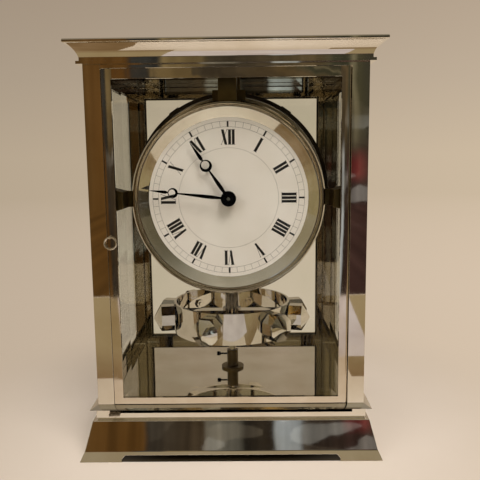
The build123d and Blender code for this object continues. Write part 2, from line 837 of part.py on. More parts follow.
def side_arms():
    """Brackets from the front posts to lugs clamped behind the bezel."""
    x_out = post_inner_x
    x_in = post_inner_x - arm_block_width
    y = (-half_depth + door_thickness + arm_door_gap, front_plate_y)
    outline = [(x_out, dial_height - arm_block_height / 2), (x_out, dial_height + arm_block_height / 2),
               (x_in, dial_height + arm_lug_height / 2), (x_in, dial_height - arm_lug_height / 2)]
    arm = plate_y(outline, y[0], y[1] - y[0])
    arm += block((x_in - arm_lug_reach, x_in), (bezel_rear_y, front_plate_y),
                 (dial_height - arm_lug_height / 2, dial_height + arm_lug_height / 2))
    return mirrored_pair(arm)


def top_strut():
    """Upright from the bezel's top to the ceiling, with a tongue behind the bezel."""
    half = strut_width / 2
    top = dial_height + bezel_radius
    strut = block((-half, half), (strut_front_y, front_plate_y), (top - bezel_flange_thickness, ceiling_z))
    strut -= rod_y(bezel_radius, (strut_front_y - overrun, bezel_rear_y), 0, dial_height)
    strut += block((-half, half), (bezel_rear_y, front_plate_y), (top - strut_tongue_length, top))
    screw_z = (ceiling_z - screw_reach, ceiling_z + overrun)
    return strut - rod_z(screw_radius, screw_z, *bridge_screw_places()[0])


def top_bridge():
    """Beam under the ceiling, from the strut to the suspension."""
    half = strut_width / 2
    beam = block((-half, half), (front_plate_y, bridge_rear_y), (beam_bottom_z, ceiling_z))
    for x, y in bridge_screw_places():
        beam -= rod_z(screw_radius, (ceiling_z - screw_reach, ceiling_z + overrun), x, y)
    return beam


def suspension_block():
    """Block at the beam's end that holds the wire, with a lipped boss for the regulator."""
    half = suspension_block_width / 2
    body = block((-half, half), (-bridge_rear_y, bridge_rear_y), (suspension_bottom_z, beam_bottom_z))
    body += rod_z(suspension_boss_radius, (wire_top_z, suspension_bottom_z))
    lip_z = (wire_top_z, wire_top_z + suspension_boss_lip)
    return body + rod_z(suspension_boss_radius + suspension_boss_lip, lip_z)


def regulator():
    """Collar with a pointed arm that turns on the suspension boss."""
    low = wire_top_z + suspension_boss_lip + running_clearance
    collar = rod_z(regulator_radius, (low, low + regulator_thickness))
    half = regulator_arm_width / 2
    tip = half * regulator_tip_share
    points = [(0, -half), (regulator_arm_length, -tip), (regulator_arm_length, tip), (0, half)]
    collar += plate_z(points, low, regulator_thickness)
    return collar - rod_z(suspension_boss_radius + running_clearance, (low - overrun, low + 2 * overrun))


# Movement plates

def arbor_holes(plate, y, holes):
    """Drill pivot holes along Y."""
    for radius, x, z in holes:
        plate -= rod_y(radius + running_clearance, (y - overrun, y + plate_thickness + overrun), x, z)
    return plate


def front_plate():
    """Round front plate with the pivot holes of the train."""
    radius = bezel_radius - front_plate_inset
    plate = rod_y(radius, (front_plate_y, front_plate_y + plate_thickness), 0, dial_height)
    holes = [(centre_arbor_radius, 0, dial_height), (small_pivot_radius, 0, escape_z),
             (small_pivot_radius, 0, pallet_z), (winding_arbor_radius, barrel_x, barrel_z),
             (small_pivot_radius, motion_x, motion_z)]
    return arbor_holes(plate, front_plate_y, holes)


def back_plate():
    """Round back plate."""
    plate = rod_y(back_plate_radius, (back_plate_y, back_plate_y + plate_thickness), 0, dial_height)
    holes = [(centre_arbor_radius, 0, dial_height), (small_pivot_radius, 0, escape_z),
             (small_pivot_radius, 0, pallet_z), (winding_arbor_radius, barrel_x, barrel_z)]
    return arbor_holes(plate, back_plate_y, holes)


def pillar_places():
    """Pillars between the two plates."""
    return [clock_place(pillar_circle_radius, angle, 0, dial_height) for angle in pillar_angles]


def plate_pillars():
    """Turned pillars with a waist."""
    y = (front_plate_y + plate_thickness, back_plate_y)
    waist = pillar_radius * pillar_waist_share
    end = pillar_radius
    profile = [(0, y[0]), (pillar_radius, y[0]), (pillar_radius, y[0] + end), (waist, y[0] + 2 * end),
               (waist, y[1] - 2 * end), (pillar_radius, y[1] - end), (pillar_radius, y[1]), (0, y[1])]
    return Compound(children=[turned_y(profile, x, z) for x, z in pillar_places()])


def plate_screws():
    """Slotted screws behind the back plate, one on each pillar."""
    y = back_plate_y + plate_thickness
    screws = []
    for x, z in pillar_places():
        head = rod_y(plate_screw_radius, (y, y + plate_screw_height), x, z)
        slot = plate_screw_radius * plate_screw_slot_share
        head -= block((x - plate_screw_radius, x + plate_screw_radius),
                      (y + plate_screw_height / 2, y + overrun), (z - slot, z + slot))
        screws.append(head)
    return Compound(children=screws)


# Train

def minute_hand_y():
    """Front of the cannon pipe, where the minute hand stands."""
    return motion_rear_y - motion_wheel_thickness - cannon_pipe_length


def centre_arbor():
    """Arbor that carries the hands, with the pinion that the barrel drives."""
    front = minute_hand_y() - centre_arbor_show
    arbor = rod_y(centre_arbor_radius, (front, back_plate_y + plate_thickness / 2), 0, dial_height)
    return arbor + toothed(centre_pinion_teeth, barrel_module, barrel_teeth_y - pinion_gap,
                           barrel_teeth_width + 2 * pinion_gap, 0, dial_height,
                           barrel_angle + 180 / centre_pinion_teeth)


def centre_wheel():
    """Crossed-out wheel on the centre arbor."""
    y = (centre_wheel_y, centre_wheel_y + wheel_thickness)
    wheel = toothed(centre_wheel_teeth, centre_wheel_module, y[0], wheel_thickness, 0, dial_height)
    pitch = centre_wheel_teeth * centre_wheel_module / 2
    wheel = crossings(wheel, centre_wheel_spokes, centre_wheel_hub, pitch - centre_wheel_rim,
                      centre_wheel_spoke, y, 0, dial_height)
    return wheel - rod_y(centre_arbor_radius, beyond(y), 0, dial_height)


def cannon_pinion():
    """Pinion and pipe held by friction on the centre arbor, for the minute hand."""
    y = motion_rear_y - motion_wheel_thickness
    pinion = toothed(cannon_teeth, motion_module, y - pinion_gap, motion_wheel_thickness + 2 * pinion_gap,
                     0, dial_height, motion_angle + 180 / cannon_teeth)
    front = minute_hand_y()
    pinion += rod_y(cannon_pipe_radius, (front, y), 0, dial_height)
    return pinion - rod_y(centre_arbor_radius, (front - overrun, motion_rear_y + overrun), 0, dial_height)


def hour_plane():
    """Back and front of the hour wheel."""
    back = motion_rear_y - motion_wheel_thickness - pinion_gap - motion_gap
    return (back - motion_wheel_thickness, back)


def hour_wheel():
    """Wheel and pipe that turn on the cannon pipe, for the hour hand."""
    y = hour_plane()
    wheel = toothed(hour_wheel_teeth, hour_module, y[0], motion_wheel_thickness, 0, dial_height,
                    motion_angle + 180 / hour_wheel_teeth)
    pipe_y = (y[0] - hour_pipe_length, y[1])
    wheel += rod_y(hour_pipe_radius, pipe_y, 0, dial_height)
    return wheel - rod_y(hour_pipe_bore, beyond(pipe_y), 0, dial_height)


def minute_wheel():
    """Wheel driven by the cannon pinion, with the pinion that drives the hour wheel."""
    y = (motion_rear_y - motion_wheel_thickness, motion_rear_y)
    wheel = toothed(minute_wheel_teeth, motion_module, y[0], motion_wheel_thickness, motion_x, motion_z,
                    motion_angle + 180)
    pinion_y = hour_plane()[0] - pinion_gap / 2
    wheel += toothed(minute_pinion_teeth, hour_module, pinion_y, y[0] - pinion_y, motion_x, motion_z,
                     motion_angle + 180)
    wheel += rod_y(small_pivot_radius, (y[1], front_plate_y + plate_thickness / 2), motion_x, motion_z)
    return wheel


def escape_wheel():
    """Escape wheel, its arbor and the pinion that the centre wheel drives."""
    arbor_y = (front_plate_y + plate_thickness / 2, back_plate_y + plate_thickness / 2)
    arbor = rod_y(small_pivot_radius, arbor_y, 0, escape_z)
    pinion_y = centre_wheel_y + wheel_thickness / 2 - escape_pinion_width / 2
    arbor += toothed(escape_pinion_teeth, centre_wheel_module, pinion_y, escape_pinion_width, 0, escape_z,
                     180 + 180 / escape_pinion_teeth)
    step = 360 / escape_wheel_teeth
    root = escape_wheel_radius * escape_root_share
    rise, fall, foot = escape_tooth_shares
    shape = ((root, 0), (escape_wheel_radius, rise), (escape_wheel_radius, fall), (root, foot))
    points = []
    for tooth in range(escape_wheel_teeth):
        for radius, share in shape:
            points.append(clock_place(radius, step * (tooth + share), 0, escape_z))
    y = (escape_wheel_y, escape_wheel_y + wheel_thickness)
    wheel = plate_y(points, y[0], wheel_thickness)
    wheel = crossings(wheel, escape_wheel_spokes, escape_wheel_hub, root - small_pivot_radius,
                      escape_wheel_spoke, y, 0, escape_z)
    return arbor + wheel


def pallet_lever():
    """Anchor with two stones over the escape wheel, and the fork behind the back plate."""
    arbor_y = (front_plate_y + plate_thickness / 2, fork_y + fork_thickness)
    arbor = rod_y(small_pivot_radius, arbor_y, 0, pallet_z)
    reach = escape_wheel_radius + pallet_stone_gap
    stone_z = escape_z + sqrt(reach ** 2 - pallet_span ** 2)
    half = pallet_arm_width / 2
    outline = [(0, pallet_z + half), (pallet_span, stone_z + 2 * half),
               (pallet_span + pallet_stone_width, stone_z), (pallet_span, stone_z),
               (pallet_span - pallet_stone_width, stone_z + half), (0, pallet_z - half)]
    y = escape_wheel_y
    side = plate_y(outline, y, wheel_thickness)
    lever = arbor + side + mirror(side, about=Plane.YZ)
    low = fork_top_z - fork_prong_length
    waist = fork_gap / 2 + fork_prong
    mouth = fork_gap / 2
    side = [(half, pallet_z), (waist, low), (waist, fork_top_z), (mouth, fork_top_z)]
    side.append((mouth, low + fork_prong))
    return lever + plate_y(side + [(-x, z) for x, z in side[::-1]], fork_y, fork_thickness)


def barrel():
    """Spring barrel with its teeth at the front and a raised cap at the back."""
    radius = centre_distance - barrel_module * (centre_pinion_teeth / 2 + 1) - barrel_wall_gap / 2
    drum = toothed(barrel_teeth, barrel_module, barrel_teeth_y, barrel_teeth_width, barrel_x, barrel_z,
                   barrel_angle + 180)
    back = barrel_teeth_y + barrel_depth
    drum += rod_y(radius, (barrel_teeth_y + barrel_teeth_width, back), barrel_x, barrel_z)
    drum += rod_y(barrel_cap_radius, (back, back + barrel_cap_step), barrel_x, barrel_z)
    return drum - rod_y(winding_arbor_radius + running_clearance,
                        (barrel_teeth_y - overrun, back + overrun), barrel_x, barrel_z)


def winding_arbor():
    """Arbor through the barrel, with ratchet teeth and the pinion that the motor drum turns."""
    pinion_y = (drum_gear_y, drum_gear_y + drum_gear_thickness)
    arbor_y = (front_plate_y + plate_thickness / 2, pinion_y[1])
    arbor = rod_y(winding_arbor_radius, arbor_y, barrel_x, barrel_z)
    arbor += toothed(winding_pinion_teeth, drum_gear_module, pinion_y[0], drum_gear_thickness,
                     barrel_x, barrel_z, barrel_angle + 180)
    step = 360 / ratchet_teeth
    points = []
    for tooth in range(ratchet_teeth):
        points.append(clock_place(ratchet_radius, step * tooth, barrel_x, barrel_z))
        points.append(clock_place(ratchet_radius * ratchet_root_share, step * (tooth + ratchet_tooth_share),
                                  barrel_x, barrel_z))
    return arbor + plate_y(points, ratchet_y, ratchet_thickness)


# Hands

def leaf(start, end, shares, y):
    """Leaf-shaped stretch of a hand between two distances from its centre."""
    right = [(hand_leaf_width / 2 * width, y, start + (end - start) * place) for place, width in shares]
    left = [(-x, y, z) for x, y, z in right]
    sides = [Line(right[-1], left[-1]), Line(left[0], right[0])]
    for foot, belly, waist, tip in (right, left):
        sides += [ThreePointArc(foot, belly, waist), Line(waist, tip)]
    return extrude(make_face(sides), amount=hand_thickness, dir=(0, 1, 0))


def ring_hand(length, ring_place, ring_radius, y, bore, angle):
    """Hand with a hub, a slim leaf-shaped arm, a ring with an eccentric hole and a leaf-shaped tip."""
    thickness = (y, y + hand_thickness)
    cut = (y - overrun, y + overrun)
    lap = ring_radius * ring_lap_share
    hole_radius = ring_radius * ring_hole_share
    hole_place = ring_place + (ring_radius - hole_radius) * ring_hole_lift_share
    hand = rod_y(hand_hub_radius, thickness) + rod_y(ring_radius, thickness, 0, ring_place)
    hand += leaf(hand_hub_radius * ring_lap_share, ring_place - lap, arm_leaf_shares, y)
    hand += leaf(ring_place + lap, length, tip_leaf_shares, y)
    hand -= rod_y(hole_radius, cut, 0, hole_place)
    hand -= rod_y(bore, cut)
    return Pos(0, 0, dial_height) * Rot(0, angle, 0) * hand


def hour_hand():
    """Hour hand, pressed on the front of the hour pipe."""
    y = hour_plane()[0] - hour_pipe_length
    length = dial_visible_radius - hour_tip_gap
    return ring_hand(length, hour_ring_place, hour_ring_radius, y, hour_pipe_radius, hour_hand_angle)


def minute_hand():
    """Minute hand, pressed on the front of the cannon pipe."""
    length = dial_visible_radius - minute_tip_gap
    return ring_hand(length, minute_ring_place, minute_ring_radius, minute_hand_y(), cannon_pipe_radius,
                     minute_hand_angle)


# Motor drum and cradle

def drum_shell():
    """Open can with concentric steps pressed in its back."""
    front = drum_front_y + drum_wall
    boss = [drum_radius * share for share in shell_boss_shares]
    rim = [drum_radius * share for share in shell_rim_shares]
    edge = [drum_radius * share for share in shell_edge_shares]

    def pressed(back):
        low = back - drum_step_depth
        return [(drum_axle_radius, low), (boss[0], low), (boss[1], back), (rim[0], back), (rim[1], low),
                (edge[0], low), (edge[1], back)]

    inner = drum_radius - drum_wall
    profile = pressed(drum_back_y) + [(drum_radius, drum_back_y), (drum_radius, front), (inner, front),
                                      (inner, drum_back_y - drum_wall)]
    return turned_y(profile + pressed(drum_back_y - drum_wall)[::-1], 0, dial_height)


def drum_lid():
    """Polished front lid with a pressed ring."""
    inner, outer = [drum_radius * share for share in lid_edge_shares]
    front = [(drum_axle_radius, drum_step_depth), (inner, drum_step_depth), (outer, 0), (drum_radius, 0)]
    profile = [(radius, drum_front_y + depth) for radius, depth in front]
    profile += [(radius, drum_front_y + drum_wall + depth) for radius, depth in front[::-1]]
    return turned_y(profile, 0, dial_height)


def expansion_capsule():
    """Closed pleated capsule that fills the drum."""
    front = drum_front_y + drum_wall + drum_step_depth + capsule_gap
    back = drum_back_y - drum_wall - drum_step_depth - capsule_gap
    outer = drum_radius - drum_wall - capsule_gap
    profile = [(drum_axle_radius, front)]
    pitch = (back - front) / capsule_pleat_count
    for pleat in range(capsule_pleat_count):
        profile.append((outer - capsule_pleat_depth, front + pitch * pleat))
        profile.append((outer, front + pitch * (pleat + 0.5)))
    profile += [(outer - capsule_pleat_depth, back), (drum_axle_radius, back)]
    return turned_y(profile, 0, dial_height)


def drum_gear():
    """Axle of the motor drum with the gear that winds the barrel."""
    back = hoop_back_y + rear_bar_thickness - running_clearance
    axle = rod_y(drum_axle_radius, (yoke_y + drum_axle_inset, back), 0, dial_height)
    return axle + toothed(drum_gear_teeth, drum_gear_module, drum_gear_y, drum_gear_thickness,
                          0, dial_height, barrel_angle + 180 / drum_gear_teeth)


def cradle_hoop():
    """Hoop round the drum, with a bar across its back that carries the axle."""
    y = (hoop_front_y, hoop_back_y)
    ring = rod_y(hoop_radius, y, 0, dial_height)
    ring -= rod_y(hoop_bore, beyond(y), 0, dial_height)
    half = rear_bar_width / 2
    bar_y = (y[1], y[1] + rear_bar_thickness)
    bar = block((-hoop_radius, hoop_radius), bar_y, (-half, half))
    bar += rod_y(rear_bar_boss_radius, bar_y)
    bar &= rod_y(hoop_radius, bar_y)
    bar -= rod_y(drum_axle_radius + running_clearance, beyond(bar_y))
    return ring + Pos(0, 0, dial_height) * bar


def hoop_clips():
    """Four small clips on the hoop's front edge."""
    clips = []
    for angle in (clip_angle, 180 - clip_angle, 180 + clip_angle, 360 - clip_angle):
        clip = block((-clip_width / 2, clip_width / 2), (hoop_front_y - clip_thickness, hoop_front_y),
                     (hoop_bore, hoop_bore + clip_height))
        clips.append(Pos(0, 0, dial_height) * Rot(0, angle, 0) * clip)
    return Compound(children=clips)


def hoop_hanger():
    """Saddle that hangs the hoop from the ceiling."""
    half = hanger_width / 2
    y = (hoop_front_y + (hoop_depth - hanger_depth) / 2, hoop_front_y + (hoop_depth + hanger_depth) / 2)
    saddle = block((-half, half), y, (dial_height + hoop_bore, ceiling_z))
    return saddle - rod_y(hoop_radius, beyond(y), 0, dial_height)


def drum_yoke():
    """Cross piece behind the back plate, on two struts, that carries the drum's axle."""
    y = (yoke_y, yoke_y + yoke_thickness)
    half = yoke_height / 2
    yoke = block((-yoke_half_length, yoke_half_length), y, (dial_height - half, dial_height + half))
    yoke += rod_y(yoke_lobe_radius, y, barrel_x, barrel_z)
    yoke += block((barrel_x - yoke_lobe_radius, barrel_x + yoke_lobe_radius), y, (barrel_z, dial_height))
    for side in (-1, 1):
        strut_y = (back_plate_y + plate_thickness, yoke_y)
        yoke += rod_y(yoke_strut_radius, strut_y, side * yoke_strut_place, dial_height)
    yoke -= rod_y(drum_axle_radius + running_clearance, beyond(y), 0, dial_height)
    return yoke - rod_y(winding_arbor_radius + running_clearance, beyond(y), barrel_x, barrel_z)


# Torsion pendulum

def weight_place(angle, piece):
    """Turn a piece made along -Y to its place round the pendulum; angles grow towards +X."""
    return Rot(0, 0, angle) * piece


def pendulum_ring():
    """Polished ring, drilled for the studs of the weights."""
    z = (ring_bottom_z, ring_bottom_z + ring_height)
    ring = rod_z(ring_radius, z) - rod_z(ring_radius - ring_wall, beyond(z))
    hole = rod_y(weight_stud_radius, beyond((-ring_radius, -ring_radius + ring_wall)), 0, weight_z)
    for angle in weight_angles:
        ring -= weight_place(angle, hole)
    return ring


def pendulum_cross():
    """Flat bar across the ring, as wide as the nuts beside its ends allow, with the hub in its middle."""
    inner = ring_radius - ring_wall
    nearest = min(abs(abs(angle) % 180 - 90) for angle in weight_angles)
    half = inner * sin(radians(nearest)) - nut_span / sqrt(3) - cross_bar_nut_gap
    z = (cross_bar_bottom_z, cross_bar_bottom_z + cross_bar_height)
    bar = block((-ring_radius, ring_radius), (-half, half), z) & rod_z(inner, z)
    return bar + rod_z(hub_radius, (hub_bottom_z, hub_top_z))


def pendulum_tube():
    """Tube that guards the wire and turns with the ring."""
    z = (hub_top_z, tube_top_z)
    return rod_z(tube_radius, z) - rod_z(tube_bore, beyond(z))


def impulse_roller():
    """Roller on the tube with the impulse pin under its edge."""
    roller = rod_z(roller_radius, (roller_z, roller_z + roller_thickness))
    roller -= rod_z(tube_radius, (roller_z - overrun, roller_z + overrun))
    pin_z = (roller_z - impulse_pin_length, roller_z)
    return roller + rod_z(impulse_pin_radius, pin_z, 0, -impulse_pin_circle)


def suspension_wire():
    """Straight torsion wire from the suspension boss to the hub."""
    return rod_z(wire_radius, (hub_top_z, wire_top_z))


def pendulum_weights():
    """Faceted weights with pyramid ends, each on a stud through the ring."""
    seat = -ring_radius - weight_seat
    outer = seat - weight_length
    corner = weight_span / 2 / cos(radians(180 / weight_sides))
    flat = RegularPolygon(corner, weight_sides, rotation=180 / weight_sides)
    body = extrude(Plane.XZ.offset(-seat) * flat, weight_length)
    cap = RegularPolygon(corner * weight_tip_share, weight_sides, rotation=180 / weight_sides)
    tip = Plane.XZ.offset(-outer + weight_tip_length)
    body += loft([Plane.XZ.offset(-outer) * flat, tip * cap], ruled=True)
    boss = rod_y(weight_boss_radius, (seat, -ring_radius + ring_wall))
    boss -= rod_z(ring_radius, (-weight_span, weight_span))
    stud = rod_y(weight_stud_radius, (seat, -ring_radius + ring_wall + weight_stud_reach))
    weight = Pos(0, 0, weight_z) * (body + boss + stud)
    return Compound(children=[weight_place(angle, weight) for angle in weight_angles])


def weight_nuts():
    """Hexagonal nuts inside the ring."""
    corner = nut_span / sqrt(3)
    face_y = sqrt((ring_radius - ring_wall) ** 2 - corner ** 2)
    hexagon = RegularPolygon(corner, 6)
    nut = extrude(Plane.XZ.offset(face_y) * hexagon, -nut_thickness)
    nut -= rod_y(weight_stud_radius, (-face_y - overrun, -face_y + nut_thickness + overrun))
    nut = Pos(0, 0, weight_z) * nut
    return Compound(children=[weight_place(angle, nut) for angle in weight_angles])


# Arrest

def arrest_post():
    """Round post on a flange, bored for the plunger and drilled for the thumb screw."""
    foot_top = floor_top_z + arrest_foot_height
    top = floor_top_z + arrest_post_height
    post = rod_z(arrest_foot_radius, (floor_top_z, foot_top)) + rod_z(arrest_post_radius, (foot_top, top))
    post -= rod_z(plunger_radius + running_clearance, beyond((floor_top_z, top)))
    return post - rod_x(thumb_screw_radius + running_clearance, (-arrest_post_radius - overrun, 0), 0,
                        floor_top_z + thumb_screw_height)


def plunger_bottom_z():
    """Low end of the plunger, just over the wedge."""
    return base_top_z + lever_rise + lever_thickness + wedge_clearance


def arrest_plunger():
    """Plunger that lifts the pendulum's hub when the lever is thrown."""
    return rod_z(plunger_radius, (plunger_bottom_z(), hub_bottom_z - plunger_top_gap))


def arrest_screw():
    """Thumb screw that clamps the plunger in its post."""
    z = floor_top_z + thumb_screw_height
    tip = -plunger_radius - 2 * running_clearance
    knob = -arrest_post_radius - thumb_screw_length
    screw = rod_x(thumb_screw_radius, (knob, tip), 0, z)
    return screw + rod_x(thumb_knob_radius, (knob - thumb_knob_length, knob), 0, z)


def lock_lever():
    """Flat lever under the floor: tip out of the front slot, long arm, and the wedge under the plunger."""
    low = base_top_z + lever_rise
    high = low + lever_thickness
    px, py = lever_pivot_x, lever_pivot_y
    half = lever_width / 2
    tip = block((px - half, px + half), (lever_tip_y, py), (low, high))
    eye = rod_z(half, (low, high), px, py)
    reach = sqrt(px ** 2 + py ** 2)
    out = (-px / reach, -py / reach)
    side = (-out[1], out[0])

    def place(along, across):
        return (px + out[0] * along + side[0] * across, py + out[1] * along + side[1] * across)

    corners = [place(0, -half), place(reach, -half), place(reach, half), place(0, half)]
    arm = plate_z(corners, low, lever_thickness)
    travel = reach * radians(lever_swing)
    start = wedge_margin
    end = -travel - wedge_margin
    inner = reach - wedge_width / 2
    outer = reach + wedge_width / 2
    slope = plunger_travel / travel
    profile = [(*place(inner, start), low), (*place(inner, end), low),
               (*place(inner, end), high + slope * (travel + wedge_margin)),
               (*place(inner, start), high - slope * wedge_margin)]
    face = make_face(Polyline(*profile, close=True))
    wedge = extrude(face, amount=outer - inner, dir=(*out, 0))
    lever = tip + eye + arm + wedge
    return lever - rod_z(lever_pin_radius + running_clearance, (low - overrun, high + overrun), px, py)


nodes = {
    "base_skirt": base_skirt,
    "lower_moulding": lower_moulding,
    "floor_plate": floor_plate,
    "front_posts": lambda: posts(-1),
    "rear_posts": lambda: posts(1),
    "frame_rails": frame_rails,
    "side_glasses": side_glasses,
    "rear_frame": rear_frame,
    "rear_glass": rear_glass,
    "ceiling_plate": ceiling_plate,
    "cornice": cornice,
    "top_plate": top_plate,
    "case_screws": case_screws,
    "door_frame": door_frame,
    "door_glass": door_glass,
    "door_pivots": door_pivots,
    "pull_ears": pull_ears,
    "door_pull": door_pull,
    "bezel": bezel,
    "dial_ring": dial_ring,
    "dial": dial,
    "side_arms": side_arms,
    "top_strut": top_strut,
    "top_bridge": top_bridge,
    "suspension_block": suspension_block,
    "regulator": regulator,
    "front_plate": front_plate,
    "back_plate": back_plate,
    "plate_pillars": plate_pillars,
    "plate_screws": plate_screws,
    "centre_arbor": centre_arbor,
    "centre_wheel": centre_wheel,
    "cannon_pinion": cannon_pinion,
    "hour_wheel": hour_wheel,
    "minute_wheel": minute_wheel,
    "escape_wheel": escape_wheel,
    "pallet_lever": pallet_lever,
    "barrel": barrel,
    "winding_arbor": winding_arbor,
    "hour_hand": hour_hand,
    "minute_hand": minute_hand,
    "drum_shell": drum_shell,
    "drum_lid": drum_lid,
    "expansion_capsule": expansion_capsule,
    "drum_gear": drum_gear,
    "cradle_hoop": cradle_hoop,
    "hoop_clips": hoop_clips,
    "hoop_hanger": hoop_hanger,
    "drum_yoke": drum_yoke,
    "pendulum_ring": pendulum_ring,
    "pendulum_cross": pendulum_cross,
    "pendulum_tube": pendulum_tube,
    "impulse_roller": impulse_roller,
    "suspension_wire": suspension_wire,
    "pendulum_weights": pendulum_weights,
    "weight_nuts": weight_nuts,
    "arrest_post": arrest_post,
    "arrest_plunger": arrest_plunger,
    "arrest_screw": arrest_screw,
    "lock_lever": lock_lever,
}

os.makedirs("parts", exist_ok=True)
for name, make in nodes.items():
    export_step(make(), "parts/" + name + ".step")
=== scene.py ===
import json
from math import cos, pi, radians, sin, sqrt

import bmesh
import bpy
from mathutils import Matrix, Vector

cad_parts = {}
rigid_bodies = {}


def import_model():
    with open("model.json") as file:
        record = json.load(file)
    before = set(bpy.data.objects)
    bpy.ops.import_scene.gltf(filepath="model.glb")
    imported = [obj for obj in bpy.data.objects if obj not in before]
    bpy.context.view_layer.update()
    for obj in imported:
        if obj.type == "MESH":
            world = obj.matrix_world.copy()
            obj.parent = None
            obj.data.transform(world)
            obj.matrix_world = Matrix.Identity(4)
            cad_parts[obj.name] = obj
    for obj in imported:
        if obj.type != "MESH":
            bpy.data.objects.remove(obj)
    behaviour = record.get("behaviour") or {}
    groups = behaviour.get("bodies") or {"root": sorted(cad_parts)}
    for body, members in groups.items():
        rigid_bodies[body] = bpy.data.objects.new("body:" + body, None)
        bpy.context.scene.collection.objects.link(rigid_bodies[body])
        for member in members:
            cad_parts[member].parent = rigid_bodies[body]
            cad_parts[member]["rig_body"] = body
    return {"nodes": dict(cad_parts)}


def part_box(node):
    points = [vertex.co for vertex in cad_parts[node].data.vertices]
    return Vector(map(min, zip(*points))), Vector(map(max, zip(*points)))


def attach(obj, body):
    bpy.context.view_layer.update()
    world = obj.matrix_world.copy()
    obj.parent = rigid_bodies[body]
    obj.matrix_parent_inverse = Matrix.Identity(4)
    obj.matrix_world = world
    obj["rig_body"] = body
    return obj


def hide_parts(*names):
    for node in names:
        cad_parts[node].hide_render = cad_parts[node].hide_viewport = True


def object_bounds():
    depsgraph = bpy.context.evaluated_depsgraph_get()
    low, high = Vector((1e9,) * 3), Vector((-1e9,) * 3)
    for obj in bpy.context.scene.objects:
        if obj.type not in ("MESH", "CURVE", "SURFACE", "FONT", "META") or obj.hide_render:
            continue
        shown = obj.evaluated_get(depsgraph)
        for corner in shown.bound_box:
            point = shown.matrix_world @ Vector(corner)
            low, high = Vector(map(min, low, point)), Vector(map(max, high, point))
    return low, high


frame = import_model()
cad_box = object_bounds()
scene = bpy.context.scene
mm = 0.001

# Studio. A pale table runs back into a pale wall without an edge, a dim brown room stands in front of
# the clock for the metal to mirror, and a broad soft lamp hangs at the upper right.


def colour(code):
    """Linear red, green, blue and alpha of an sRGB hex colour."""
    parts = [int(code[i:i + 2], 16) / 255 for i in (1, 3, 5)]
    return [p / 12.92 if p <= 0.04045 else ((p + 0.055) / 1.055) ** 2.4 for p in parts] + [1.0]


def add(tree, kind, inputs=None, **settings):
    """Adds one node; each input is a constant or the output that feeds it."""
    made = tree.nodes.new(kind)
    for name, value in settings.items():
        setattr(made, name, value)
    for name, value in (inputs or {}).items():
        if isinstance(value, bpy.types.NodeSocket):
            tree.links.new(value, made.inputs[name])
        else:
            made.inputs[name].default_value = value
    return made


def ramp(made, stops):
    """Sets the stops of a colour ramp."""
    band = made.color_ramp
    while len(band.elements) < len(stops):
        band.elements.new(1.0)
    for element, (place, code) in zip(band.elements, stops):
        element.position = place
        element.color = colour(code)
    return made.outputs["Color"]


def unlit(tree):
    """1 for rays that show a surface, 0 for those that have already left a matt one, also through glass."""
    depth = add(tree, "ShaderNodeLightPath").outputs["Diffuse Depth"]
    return add(tree, "ShaderNodeMath", {0: depth, 1: 0.5}, operation="LESS_THAN").outputs[0]


def mirrored(tree):
    """1 for rays that come off metal or glass, 0 for those that only came through it."""
    depth = add(tree, "ShaderNodeLightPath").outputs["Glossy Depth"]
    once = add(tree, "ShaderNodeMath", {0: depth, 1: 0.5}, operation="GREATER_THAN").outputs[0]
    return add(tree, "ShaderNodeMath", {0: once, 1: unlit(tree)}, operation="MULTIPLY").outputs[0]


def side_light(tree, across):
    """Strength of the light, which grows from the left side of the room to the right."""
    return add(tree, "ShaderNodeMapRange", {"Value": across, "From Min": -0.4, "From Max": 0.4,
                                            "To Min": 0.86, "To Max": 1.1}).outputs["Result"]


camera_place = (11.4 * mm, -447.6 * mm, 202.8 * mm)
camera_pitch = radians(8.23)
camera_yaw = radians(-0.58)
camera_roll = radians(-0.65)
camera_lens = 43.95

camera_data = bpy.data.cameras.new("camera")
camera_data.lens = camera_lens
camera_data.sensor_width = 36.0
camera_data.clip_start = 0.01
camera = bpy.data.objects.new("camera", camera_data)
scene.collection.objects.link(camera)
level_reach = cos(camera_pitch)
forward = Vector((sin(camera_yaw) * level_reach, cos(camera_yaw) * level_reach, -sin(camera_pitch)))
level = Vector((cos(camera_yaw), -sin(camera_yaw), 0))
upright = level.cross(forward)
right = cos(camera_roll) * level + sin(camera_roll) * upright
up = -sin(camera_roll) * level + cos(camera_roll) * upright
camera.matrix_world = Matrix.Translation(camera_place) @ Matrix((right, up, -forward)).transposed().to_4x4()
scene.camera = camera
scene.view_settings.view_transform = "Standard"

wall_low = "#C3B199"
wall_high = "#A59380"
plain_light = "#D9D0C6"
plain_strength = 0.6

# What the camera and the metal see is the wall, and what lights matt surfaces is plain light from above.
world = bpy.data.worlds.new("room light")
world.use_nodes = True
tree = world.node_tree
tree.nodes.clear()
direction = add(tree, "ShaderNodeTexCoord").outputs["Generated"]
along = add(tree, "ShaderNodeSeparateXYZ", {"Vector": direction}).outputs
wall = ramp(add(tree, "ShaderNodeValToRGB", {"Fac": along["Z"]}),
            [(0.0, wall_low), (0.12, "#B7A691"), (0.35, wall_high), (1.0, "#8C8375")])
ceiling = ramp(add(tree, "ShaderNodeValToRGB", {"Fac": along["Z"]}),
               [(0.4, "#A39479"), (0.7, "#B0A696"), (0.88, "#B0A696"), (0.95, "#4A3E30"), (1.0, "#33291D")])
dim_side = add(tree, "ShaderNodeMapRange", {"Value": along["X"], "From Min": 0.1, "From Max": 0.7,
                                            "To Max": 0.75}).outputs["Result"]
ceiling = add(tree, "ShaderNodeMix", {"Factor": dim_side, "A": ceiling, "B": colour("#3A3628")},
              data_type="RGBA").outputs["Result"]
in_front = add(tree, "ShaderNodeMapRange", {"Value": along["Y"], "From Min": 0.05, "From Max": -0.1})
